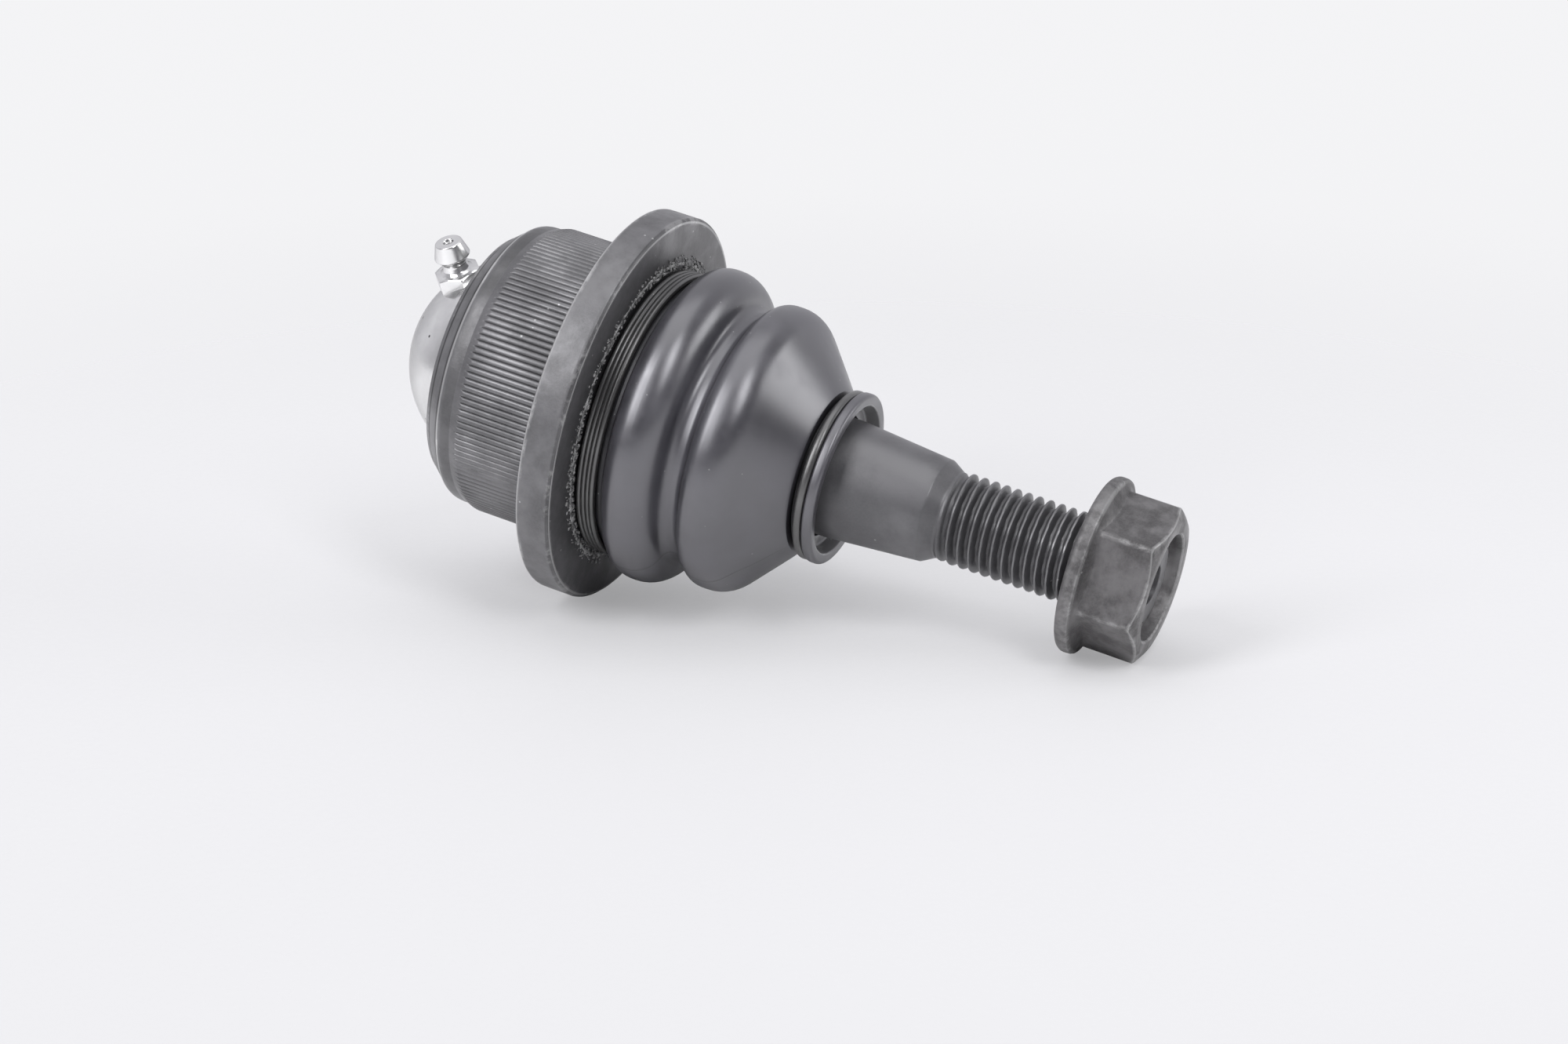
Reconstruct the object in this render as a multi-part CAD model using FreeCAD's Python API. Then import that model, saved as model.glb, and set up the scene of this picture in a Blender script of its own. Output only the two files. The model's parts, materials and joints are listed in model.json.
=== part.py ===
import FreeCAD, Part
import math
import os
from FreeCAD import Placement, Rotation, Vector

# Suspension ball joint, press-in pattern, lying on a bench as it is stored.
# Every piece is drawn along the stud axis, x = 0 at the centre of the ball,
# x rising towards the nut, and is then laid down on its flange and its nut.
# Lengths are in millimetres and angles in degrees.

# Ball stud
ball_d = 30.0
neck_d = 17.0
journal_d = 20.84
journal_start_x = 38.0
neck_flare_length = 5.0
neck_flare_round = 3.0
taper_start_x = 59.0
taper_length = 17.0
taper_ratio = 6.0
taper_edge_round = 0.3
relief_depth = 1.7
relief_cone_length = 2.4
relief_length = 0.8
relief_round = 0.6
thread_lead_length = 0.8
thread_d = 15.8
stud_end_x = 115.2
stud_end_chamfer = 1.0
stud_socket_d = 7.0
stud_socket_depth = 2.2
swing_limit = 24.0

# Forged housing
flange_front_x = 20.0
flange_d = 69.0
flange_t = 6.2
flange_chamfer = 0.45
serration_depth = 0.62
serration_count = 144
serration_start_x = -3.2
serration_runout = 1.5
serration_trim = 0.01
serration_height = 0.65
pilot_band_rear_x = -6.3
pilot_band_round = 1.0
pilot_band_lead = 0.3
lip_step = 2.8
lip_wall = 1.05
lip_thickness = 1.4
lip_face_length = 0.7
lip_round = 0.45
lip_edge_round = 0.3
lip_clearance = 0.1
cover_step_x = -5.9
cover_rim_width = 3.0
cover_rim_t = 3.0
bearing_stop_x = 12.0
hub_length = 5.0
hub_wall = 2.61
hub_chamfer = 0.3
hub_groove_depth = 0.6
hub_groove_length = 4.1
opening_clearance = 0.45

# Domed cover plate
dome_overhang = 0.25
dome_wall = 3.0
spot_face_d = 9.6
spot_face_depth = 1.27

# Bearings inside
ball_clearance = 0.05
seat_clearance = 0.05
bearing_wall = 3.45
bearing_length = 13.5
bearing_open_angle = 60.5
pressure_seat_wall = 2.0
pressure_seat_angle = 35.0
pressure_seat_boss_d = 9.0
pressure_seat_boss_h = 1.0
spring_room = 2.5
spring_t = 0.7
spring_outer_d = 13.0
spring_inner_d = 6.0
spring_clearance = 0.05

# Dust boot
boot_wall = 1.8
boot_clearance = 0.05
boot_face_gap = 0.3
boot_rim_gap = 0.35
boot_inner_chamfer = 0.5
boot_edge_round = 0.4
boot_smallest_round = 0.3
boot_bead_wall = 1.1
boot_bead_length = 4.9
boot_fold_1_height = 3.6
boot_fold_1_x = 5.8
boot_fold_1_width = 7.6
boot_fold_1_rear_round = 3.7
boot_fold_1_front_round = 5.2
boot_valley_depth = 5.7
boot_valley_x = 15.2
boot_valley_width = 3.0
boot_valley_rear_round = 1.9
boot_valley_front_round = 1.5
boot_fold_2_height = 3.0
boot_fold_2_x = 19.4
boot_fold_2_width = 5.6
boot_fold_2_rear_round = 2.9
boot_fold_2_front_round = 6.0
boot_neck_gap = 0.3
boot_neck_wall = 3.08
boot_neck_step = 0.5
boot_neck_rise = 0.25
boot_bore_round = 1.0
boot_cup_depth = 2.6
boot_cup_wall = 2.0
boot_cup_draft = 0.6
boot_lip_width = 1.9
boot_lip_round = 0.7
boot_end_past_taper = 0.5

# Rings that hold the boot
clamp_turns = 4
clamp_wire_d = 1.2
clamp_pitch = 1.08
neck_ring_width = 1.8
neck_ring_t = 1.35
neck_ring_round = 0.6
neck_ring_gap = 0.1

# Hexagon flange nut
nut_bearing_x = 103.5
nut_height = 13.5
nut_across_flats = 24.0
nut_flange_d = 30.9
nut_flange_t = 2.6
nut_flange_round = 1.1
nut_flange_draft = 0.15
nut_flange_cone = 1.3
nut_flange_lap = 0.4
nut_end_chamfer_angle = 30.0
nut_end_d = 23.0
nut_mouth_d = 18.6
nut_mouth_depth = 2.6
nut_mouth_draft = 0.3
nut_mouth_round = 0.2
nut_bearing_chamfer = 0.8
nut_thread_clearance = 0.05
nut_turn = 43.8
nut_dent_count = 3
nut_dent_depth = 0.7
nut_dent_floor = 1.0
nut_dent_d = 7.0

# Grease fitting in the cover
fitting_latitude = 52.67
fitting_lean = 73.5
fitting_turn = 21.5
fitting_hex = 7.4
fitting_hex_t = 3.5
fitting_hex_turn = 12.0
fitting_hex_low_bevel = 0.6
fitting_hex_top_bevel = 0.9
fitting_shank_d = 6.0
fitting_shank_length = 3.6
fitting_shank_chamfer = 0.4
fitting_collar_d = 4.8
fitting_collar_h = 0.4
fitting_collar_round = 0.3
fitting_waist_d = 3.9
fitting_waist_h = 5.0
fitting_waist_round = 0.6
fitting_head_d = 6.4
fitting_head_h = 6.3
fitting_head_round = 0.25
fitting_tip_d = 4.7
fitting_length = 9.1
fitting_bore_d = 2.6
fitting_mouth_d = 1.7
fitting_clearance = 0.02
check_ball_d = 2.2
check_ball_sink = 0.35
check_seat_sink = 0.25
check_seat_length = 0.8
check_spring_wire_d = 0.35
check_spring_d = 2.0
check_spring_turns = 5
check_spring_steps = 12
check_spring_sides = 8
check_spring_gap = 0.15

# Shared working values
cut_margin = 1.0
mitred_corners = 1
AXIS = Vector(1, 0, 0)
ORIGIN = Vector(0, 0, 0)


def rounded_face(corners):
    """Flat face from (x, r) or (x, r, fillet) corners, in order around the outline."""
    count = len(corners)
    points = [Vector(corner[0], 0, corner[1]) for corner in corners]
    spans = []
    arcs = []
    for i, corner in enumerate(corners):
        here = points[i]
        fillet = corner[2] if len(corner) > 2 else 0
        if fillet == 0:
            spans.append((here, here))
            arcs.append(None)
            continue
        back = (points[i - 1] - here).normalize()
        ahead = (points[(i + 1) % count] - here).normalize()
        half = back.getAngle(ahead) / 2
        reach = fillet / math.tan(half)
        start = here + back * reach
        end = here + ahead * reach
        middle_way = (back + ahead).normalize()
        middle = here + middle_way * (fillet / math.sin(half) - fillet)
        spans.append((start, end))
        arcs.append(Part.Arc(start, middle, end).toShape())
    edges = []
    for i in range(count):
        if arcs[i]:
            edges.append(arcs[i])
        leave = spans[i][1]
        arrive = spans[(i + 1) % count][0]
        if leave.distanceToPoint(arrive) > 1e-6:
            edges.append(Part.LineSegment(leave, arrive).toShape())
    return Part.Face(Part.Wire(edges))


def turned(corners):
    """Solid of revolution about the stud axis."""
    return rounded_face(corners).revolve(ORIGIN, AXIS, 360)


def cylinder(diameter, start_x, end_x):
    """Round bar along the stud axis."""
    return Part.makeCylinder(diameter / 2, end_x - start_x, Vector(start_x, 0, 0), AXIS)


def offset_path(path, distance):
    """Copy of an open (x, r, fillet) path, moved to its right-hand side by a distance."""
    normals = []
    for (x0, r0, _), (x1, r1, _) in zip(path, path[1:]):
        run = math.hypot(x1 - x0, r1 - r0)
        normals.append(((r1 - r0) / run, -(x1 - x0) / run))
    moved = []
    for i, (x, r, fillet) in enumerate(path):
        before = normals[max(i - 1, 0)]
        after = normals[min(i, len(normals) - 1)]
        share = 1 + before[0] * after[0] + before[1] * after[1]
        turn = before[0] * after[1] - before[1] * after[0]
        new_fillet = 0
        if fillet:
            new_fillet = max(fillet + math.copysign(distance, turn), boot_smallest_round)
        moved.append((x + distance * (before[0] + after[0]) / share,
                      r + distance * (before[1] + after[1]) / share,
                      new_fillet))
    return moved


# Stations that follow from the driving sizes


def opening_radius(x):
    """Radius that the stud's neck needs at x when it is swung to its limit."""
    lean = math.radians(swing_limit)
    return neck_d / 2 / math.cos(lean) + x * math.tan(lean) + opening_clearance


ball_r = ball_d / 2
ball_seat_r = ball_r + ball_clearance
pressure_seat_r = ball_seat_r + pressure_seat_wall
pressure_seat_rear_x = -pressure_seat_r - pressure_seat_boss_h
taper_end_x = taper_start_x + taper_length
taper_end_r = (journal_d - taper_length / taper_ratio) / 2
relief_r = taper_end_r - relief_depth

cavity_r = ball_seat_r + bearing_wall
cover_rim_r = cavity_r + cover_rim_width
lip_r = cover_rim_r + lip_wall
pilot_band_r = lip_r + lip_step
serration_tip_r = pilot_band_r + serration_height
serration_root_r = serration_tip_r - serration_depth
flange_r = flange_d / 2
flange_rear_x = flange_front_x - flange_t
cover_rear_x = cover_step_x - cover_rim_t
lip_rear_x = cover_rear_x - lip_thickness
hub_front_x = flange_front_x + hub_length
hub_r = opening_radius(hub_front_x) + hub_wall
hub_groove_r = hub_r - hub_groove_depth

dome_r = cavity_r + dome_overhang
dome_hollow_r = dome_r - dome_wall
dome_centre_x = pressure_seat_rear_x - spring_room + dome_hollow_r
lip_bore_r = math.sqrt(dome_r ** 2 - (cover_rear_x - dome_centre_x) ** 2) + lip_clearance

boot_end_x = taper_start_x + boot_end_past_taper
boot_bead_r = hub_r + boot_bead_wall
boot_bore_r = journal_d / 2 + boot_neck_gap
neck_ring_seat_r = boot_bore_r + boot_neck_wall
boot_lip_r = neck_ring_seat_r + neck_ring_t + neck_ring_gap
boot_cup_r = boot_lip_r - boot_cup_wall
ring_groove_front_x = boot_end_x - boot_lip_width
ring_groove_rear_x = ring_groove_front_x - neck_ring_width - neck_ring_gap

nut_end_x = nut_bearing_x + nut_height
nut_corner_r = nut_across_flats / 2 / math.cos(math.radians(30))
nut_end_slope = math.tan(math.radians(nut_end_chamfer_angle))


def make_housing():
    """Forged and turned housing: serrated barrel, flange, boot hub and rolled rear lip."""
    body = turned([
        (lip_rear_x, lip_bore_r + 2 * lip_round, lip_round),
        (lip_rear_x, lip_r - lip_round, lip_round),
        (lip_rear_x + lip_face_length, lip_r, lip_edge_round),
        (pilot_band_rear_x, pilot_band_r, pilot_band_round),
        (serration_start_x - pilot_band_lead, pilot_band_r),
        (serration_start_x, serration_root_r),
        (flange_rear_x, serration_root_r),
        (flange_rear_x, flange_r - flange_chamfer),
        (flange_rear_x + flange_chamfer, flange_r),
        (flange_front_x - flange_chamfer, flange_r),
        (flange_front_x, flange_r - flange_chamfer),
        (flange_front_x, hub_groove_r),
        (flange_front_x + hub_groove_length, hub_groove_r),
        (flange_front_x + hub_groove_length, hub_r),
        (hub_front_x - hub_chamfer, hub_r),
        (hub_front_x, hub_r - hub_chamfer),
        (hub_front_x, opening_radius(hub_front_x)),
        (bearing_stop_x, opening_radius(bearing_stop_x)),
        (bearing_stop_x, cavity_r),
        (cover_step_x, cavity_r),
        (cover_step_x, cover_rim_r),
        (cover_rear_x, cover_rim_r),
        (cover_rear_x, lip_bore_r),
        (lip_rear_x + 2 * lip_round, lip_bore_r, lip_edge_round),
    ])
    return body.fuse(make_serrations()).removeSplitter()


def make_serrations():
    """Ring of straight V teeth with pointed run-outs towards the lip."""
    step = 2 * math.pi / serration_count
    corners = []
    for i in range(serration_count):
        for share, radius in ((0, serration_tip_r), (0.5, serration_root_r)):
            angle = (i + share) * step
            corners.append(Vector(serration_start_x, radius * math.cos(angle), radius * math.sin(angle)))
    star = Part.Face(Part.makePolygon(corners + corners[:1]))
    teeth = star.extrude(Vector(flange_rear_x - serration_start_x, 0, 0))
    inner_r = serration_root_r - cut_margin
    envelope = turned([
        (serration_start_x, inner_r),
        (serration_start_x, serration_root_r - serration_trim),
        (serration_start_x + serration_runout, serration_tip_r + serration_trim),
        (flange_rear_x, serration_tip_r + serration_trim),
        (flange_rear_x, inner_r),
    ])
    return teeth.common(envelope)


def fitting_base():
    """Middle of the grease fitting's seat on the dome, in drawn coordinates."""
    turn = math.radians(fitting_turn)
    latitude = math.radians(fitting_latitude)
    seat_r = dome_r - spot_face_depth
    out = seat_r * math.sin(latitude)
    return Vector(dome_centre_x - seat_r * math.cos(latitude), -out * math.sin(turn), out * math.cos(turn))


def fitting_axis():
    """Direction in which the grease fitting stands off the dome."""
    lean = math.radians(fitting_lean)
    turn = math.radians(fitting_turn)
    across = math.sin(lean)
    return Vector(-math.cos(lean), -across * math.sin(turn), across * math.cos(turn))


def stand_on_dome(shape):
    """Move a piece drawn upwards from the origin to the grease fitting's place."""
    placed = shape.copy()
    seat = Placement(fitting_base(), Rotation(Vector(0, 0, 1), fitting_axis()))
    placed.Placement = seat * placed.Placement
    return placed


def make_cover_plate():
    """Pressed dome with its clamped rim, and the spot face and hole for the fitting."""
    centre = Vector(dome_centre_x, 0, 0)
    outer = Part.makeSphere(dome_r, centre)
    inner = Part.makeSphere(dome_hollow_r, centre)
    rear_half = cylinder(2 * dome_r, cover_step_x - 2 * dome_r, cover_step_x)
    rim = cylinder(2 * cover_rim_r, cover_rear_x, cover_step_x)
    plate = outer.common(rear_half).fuse(rim).cut(inner)
    spot_face = stand_on_dome(Part.makeCylinder(spot_face_d / 2, fitting_length))
    hole_r = fitting_shank_d / 2 + fitting_clearance
    hole_foot = Vector(0, 0, -fitting_shank_length - cut_margin)
    hole = stand_on_dome(Part.makeCylinder(hole_r, dome_r, hole_foot))
    return plate.cut(spot_face).cut(hole)


def make_ball_stud():
    """Ball, neck, journal, locking taper and threaded end, turned in one piece."""
    neck_foot_x = ball_r / 2
    relief_x = taper_end_x + relief_cone_length
    lead_x = relief_x + relief_length
    shank = turned([
        (neck_foot_x, 0),
        (neck_foot_x, neck_d / 2),
        (journal_start_x - neck_flare_length, neck_d / 2, neck_flare_round),
        (journal_start_x, journal_d / 2, neck_flare_round),
        (taper_start_x, journal_d / 2),
        (taper_end_x, taper_end_r, taper_edge_round),
        (relief_x, relief_r, relief_round),
        (lead_x, relief_r),
        (lead_x + thread_lead_length, thread_d / 2),
        (stud_end_x - stud_end_chamfer, thread_d / 2),
        (stud_end_x, thread_d / 2 - stud_end_chamfer),
        (stud_end_x, 0),
    ])
    socket = Part.makeCylinder(stud_socket_d / 2, stud_socket_depth,
                               Vector(stud_end_x - stud_socket_depth, 0, 0), AXIS)
    return Part.makeSphere(ball_r).fuse(shank).cut(socket).removeSplitter()


def make_front_bearing():
    """Bearing ring in front of the ball, opened to let the neck swing."""
    rear_x = bearing_stop_x - bearing_length
    mouth_x = ball_seat_r * math.cos(math.radians(bearing_open_angle))
    mouth_r = opening_radius(mouth_x)
    outer_r = cavity_r - seat_clearance
    ring = turned([
        (rear_x, mouth_r),
        (rear_x, outer_r),
        (bearing_stop_x, outer_r),
        (bearing_stop_x, opening_radius(bearing_stop_x)),
        (mouth_x, mouth_r),
    ])
    return ring.cut(Part.makeSphere(ball_seat_r))


def make_pressure_seat():
    """Cup behind the ball, with a boss for the spring."""
    edge_r = pressure_seat_r * math.sin(math.radians(pressure_seat_angle))
    cup = Part.makeSphere(pressure_seat_r).common(cylinder(2 * edge_r, -pressure_seat_r, -edge_r / 2))
    boss = cylinder(pressure_seat_boss_d, pressure_seat_rear_x, -ball_seat_r)
    return cup.fuse(boss).cut(Part.makeSphere(ball_seat_r))


def make_preload_spring():
    """Disc spring between the pressure seat's boss and the dome."""
    outer_r = spring_outer_d / 2
    dome_x = dome_centre_x - math.sqrt(dome_hollow_r ** 2 - outer_r ** 2)
    far_x = dome_x + spring_clearance
    return turned([
        (pressure_seat_rear_x, spring_inner_d / 2),
        (far_x + spring_t, outer_r),
        (far_x, outer_r),
        (pressure_seat_rear_x - spring_t, spring_inner_d / 2),
    ])


def boot_outline():
    """Outer line of the boot between its bead and its neck, as (x, r, fillet) corners."""
    fold_1_r = boot_bead_r + boot_fold_1_height
    valley_r = fold_1_r - boot_valley_depth
    fold_2_r = valley_r + boot_fold_2_height
    fold_1_x = flange_front_x + boot_fold_1_x
    valley_x = flange_front_x + boot_valley_x
    fold_2_x = flange_front_x + boot_fold_2_x
    return [
        (flange_front_x + boot_face_gap + boot_bead_length, boot_bead_r, 0),
        (fold_1_x, fold_1_r, boot_fold_1_rear_round),
        (fold_1_x + boot_fold_1_width, fold_1_r, boot_fold_1_front_round),
        (valley_x, valley_r, boot_valley_rear_round),
        (valley_x + boot_valley_width, valley_r, boot_valley_front_round),
        (fold_2_x, fold_2_r, boot_fold_2_rear_round),
        (fold_2_x + boot_fold_2_width, fold_2_r, boot_fold_2_front_round),
        (ring_groove_rear_x - boot_neck_step, neck_ring_seat_r + boot_neck_rise, boot_edge_round),
    ]


def make_dust_boot():
    """Rubber boot: bead in the hub groove, two folds, a cone and a lipped neck."""
    outer = boot_outline()
    inner = offset_path(outer, boot_wall)
    groove_r = hub_groove_r + boot_clearance
    rim_r = hub_r + boot_clearance
    bead_x = flange_front_x + boot_face_gap
    rim_x = flange_front_x + hub_groove_length - boot_clearance
    cone_x, cone_r, _ = inner[-1]
    fold_x, fold_r, _ = inner[-2]
    slope = (cone_r - fold_r) / (cone_x - fold_x)
    meet_x = fold_x + (boot_bore_r - fold_r) / slope
    land_x = boot_end_x - boot_cup_depth
    corners = [
        (bead_x, groove_r),
        (bead_x, boot_bead_r, boot_edge_round),
        (outer[0][0], boot_bead_r, boot_edge_round),
    ]
    corners += outer[1:]
    corners += [
        (ring_groove_rear_x, neck_ring_seat_r),
        (ring_groove_front_x, neck_ring_seat_r),
        (ring_groove_front_x, boot_lip_r, boot_edge_round),
        (boot_end_x, boot_lip_r, boot_lip_round),
        (boot_end_x, boot_cup_r, boot_edge_round),
        (land_x, boot_cup_r - boot_cup_draft, boot_edge_round),
        (land_x, boot_bore_r, boot_edge_round),
        (meet_x, boot_bore_r, boot_bore_round),
    ]
    corners += [inner[i] for i in range(len(inner) - 2, 0, -1)]
    corners += [
        (hub_front_x + boot_rim_gap, rim_r + boot_inner_chamfer),
        (hub_front_x + boot_rim_gap, rim_r),
        (rim_x, rim_r),
        (rim_x, groove_r),
    ]
    return turned(corners)


def make_boot_clamp_ring():
    """Flat-wound wire ring around the boot's bead, ridged by its turns."""
    wire_r = clamp_wire_d / 2
    centre_r = boot_bead_r + boot_clearance + wire_r
    first_x = flange_front_x + boot_face_gap + wire_r
    ring = None
    for turn in range(clamp_turns):
        centre = Vector(first_x + turn * clamp_pitch, 0, 0)
        torus = Part.makeTorus(centre_r, wire_r, centre, AXIS)
        ring = torus if ring is None else ring.fuse(torus)
    return ring


def make_boot_neck_ring():
    """Ring that draws the boot's neck in on the stud."""
    inner_r = neck_ring_seat_r + boot_clearance
    outer_r = inner_r + neck_ring_t
    front_x = ring_groove_front_x - neck_ring_gap
    rear_x = front_x - neck_ring_width
    return turned([
        (rear_x, inner_r),
        (rear_x, outer_r, neck_ring_round),
        (front_x, outer_r, neck_ring_round),
        (front_x, inner_r),
    ])


def make_flange_nut():
    """Hexagon nut with a rolled flange, a recessed mouth and three locking dents."""
    rim_r = nut_flange_d / 2
    cone_x = nut_bearing_x + nut_flange_t + nut_flange_cone
    corners = []
    for i in range(6):
        angle = math.radians(nut_turn + 60 * i)
        corners.append(Vector(nut_bearing_x, -nut_corner_r * math.cos(angle), nut_corner_r * math.sin(angle)))
    hexagon = Part.Face(Part.makePolygon(corners + corners[:1])).extrude(Vector(nut_height, 0, 0))
    outer_r = nut_corner_r + cut_margin
    envelope = turned([
        (nut_bearing_x, 0),
        (nut_bearing_x, outer_r),
        (nut_end_x - (outer_r - nut_end_d / 2) * nut_end_slope, outer_r),
        (nut_end_x, nut_end_d / 2),
        (nut_end_x, 0),
    ])
    flange = turned([
        (nut_bearing_x, 0),
        (nut_bearing_x, rim_r, nut_flange_round),
        (nut_bearing_x + nut_flange_t, rim_r - nut_flange_draft),
        (cone_x, nut_across_flats / 2 - nut_flange_lap),
        (cone_x, 0),
    ])
    bore_r = thread_d / 2 + nut_thread_clearance
    mouth_x = nut_end_x - nut_mouth_depth
    bore = turned([
        (nut_bearing_x - cut_margin, 0),
        (nut_bearing_x - cut_margin, bore_r + nut_bearing_chamfer + cut_margin),
        (nut_bearing_x + nut_bearing_chamfer, bore_r),
        (mouth_x, bore_r),
        (mouth_x + nut_mouth_draft, nut_mouth_d / 2, nut_mouth_round),
        (nut_end_x + cut_margin, nut_mouth_d / 2 + nut_mouth_draft),
        (nut_end_x + cut_margin, 0),
    ])
    nut = hexagon.common(envelope).fuse(flange).cut(bore)
    for i in range(nut_dent_count):
        angle = math.radians(nut_turn + 30 + 360 / nut_dent_count * i)
        centre_r = nut_mouth_d / 2 + nut_dent_depth - nut_dent_d / 2
        foot = Vector(mouth_x + nut_dent_floor, -centre_r * math.cos(angle), centre_r * math.sin(angle))
        nut = nut.cut(Part.makeCylinder(nut_dent_d / 2, nut_height, foot, AXIS))
    return nut


def make_grease_fitting():
    """Straight grease fitting, drawn along x and then set on the dome."""
    shank_r = fitting_shank_d / 2
    mouth_r = fitting_mouth_d / 2
    bore_r = fitting_bore_d / 2
    flats_r = fitting_hex / 2
    hex_r = flats_r / math.cos(math.radians(30))
    body = turned([
        (-fitting_shank_length, 0),
        (-fitting_shank_length, shank_r - fitting_shank_chamfer),
        (-fitting_shank_length + fitting_shank_chamfer, shank_r),
        (0, shank_r),
        (0, fitting_collar_d / 2),
        (fitting_hex_t + fitting_collar_h, fitting_collar_d / 2, fitting_collar_round),
        (fitting_waist_h, fitting_waist_d / 2, fitting_waist_round),
        (fitting_head_h, fitting_head_d / 2, fitting_head_round),
        (fitting_length, fitting_tip_d / 2, fitting_head_round),
        (fitting_length, 0),
    ])
    corners = []
    for i in range(6):
        angle = math.radians(fitting_hex_turn + 60 * i)
        corners.append(Vector(0, hex_r * math.cos(angle), hex_r * math.sin(angle)))
    hexagon = Part.Face(Part.makePolygon(corners + corners[:1])).extrude(Vector(fitting_hex_t, 0, 0))
    bevels = turned([
        (0, 0),
        (0, flats_r),
        (fitting_hex_low_bevel, hex_r),
        (fitting_hex_t - fitting_hex_top_bevel, hex_r),
        (fitting_hex_t, flats_r),
        (fitting_hex_t, 0),
    ])
    seat_x = fitting_length - check_ball_d / 2 - check_seat_sink
    passage = turned([
        (-fitting_shank_length - cut_margin, 0),
        (-fitting_shank_length - cut_margin, bore_r),
        (seat_x, bore_r),
        (seat_x + check_seat_length, mouth_r),
        (fitting_length + cut_margin, mouth_r),
        (fitting_length + cut_margin, 0),
    ])
    fitting = body.fuse(hexagon.common(bevels)).cut(passage)
    return stand_on_dome(turn_upright(fitting))


def turn_upright(shape):
    """Turn a piece drawn along x so that it points along z."""
    upright = shape.copy()
    upright.Placement = Placement(ORIGIN, Rotation(AXIS, Vector(0, 0, 1)))
    return upright


def check_ball_height():
    """Height of the check ball's centre when it closes the fitting's mouth."""
    return fitting_length - check_ball_d / 2 - check_ball_sink


def make_grease_check_ball():
    """Ball that closes the grease fitting from inside."""
    ball = Part.makeSphere(check_ball_d / 2, Vector(0, 0, check_ball_height()))
    return stand_on_dome(ball)


def make_grease_check_spring():
    """Coil spring under the check ball, swept along short straight steps."""
    top = check_ball_height() - check_ball_d / 2 - check_spring_gap
    bottom = -fitting_shank_length + check_spring_wire_d
    rise = top - bottom - check_spring_wire_d
    radius = (check_spring_d - check_spring_wire_d) / 2
    start_z = bottom + check_spring_wire_d / 2
    steps = check_spring_turns * check_spring_steps
    path = []
    for i in range(steps + 1):
        angle = 2 * math.pi * i / check_spring_steps
        path.append(Vector(radius * math.cos(angle), radius * math.sin(angle), start_z + rise * i / steps))
    ahead = (path[1] - path[0]).normalize()
    side = ahead.cross(Vector(0, 0, 1)).normalize()
    up = side.cross(ahead).normalize()
    section = []
    for i in range(check_spring_sides + 1):
        angle = 2 * math.pi * i / check_spring_sides
        out = side * math.cos(angle) + up * math.sin(angle)
        section.append(path[0] + out * (check_spring_wire_d / 2))
    coil = Part.makePolygon(path).makePipeShell([Part.makePolygon(section)], True, False, mitred_corners)
    return stand_on_dome(coil)


def rest_tilt():
    """Angle at which the joint lies with its flange and a nut corner on the bench."""
    spread = min(abs((nut_turn + 60 * i + 90) % 360) for i in range(6))
    spread = min(spread, 60 - spread)
    corner_r = nut_corner_r * math.cos(math.radians(spread))
    corner_x = nut_end_x - (nut_corner_r - nut_end_d / 2) * nut_end_slope
    flange_x = flange_front_x - flange_chamfer
    return math.degrees(math.atan2(flange_r - corner_r, corner_x - flange_x))


def lay_down(shape):
    """Tip a piece from the drawn axis into the resting attitude, about the ball's centre."""
    laid = shape.copy()
    laid.Placement = Placement(ORIGIN, Rotation(Vector(0, 1, 0), rest_tilt())) * laid.Placement
    return laid


PIECES = {
    "housing": make_housing,
    "cover_plate": make_cover_plate,
    "front_bearing": make_front_bearing,
    "pressure_seat": make_pressure_seat,
    "preload_spring": make_preload_spring,
    "ball_stud": make_ball_stud,
    "dust_boot": make_dust_boot,
    "boot_clamp_ring": make_boot_clamp_ring,
    "boot_neck_ring": make_boot_neck_ring,
    "flange_nut": make_flange_nut,
    "grease_fitting": make_grease_fitting,
    "grease_check_ball": make_grease_check_ball,
    "grease_check_spring": make_grease_check_spring,
}

os.makedirs("parts", exist_ok=True)
for name, make in PIECES.items():
    piece = lay_down(make())
    box = piece.BoundBox
    print(name, "solids", len(piece.Solids), "valid", piece.isValid(),
          "volume", round(piece.Volume, 1),
          "x", round(box.XMin, 2), round(box.XMax, 2),
          "y", round(box.YMin, 2), round(box.YMax, 2),
          "z", round(box.ZMin, 2), round(box.ZMax, 2))
    piece.exportStep("parts/" + name + ".step")
print("rest tilt", round(rest_tilt(), 3))
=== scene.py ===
import json
import math
import random

import bmesh
import bpy
from mathutils import Matrix, Vector, noise


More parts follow.
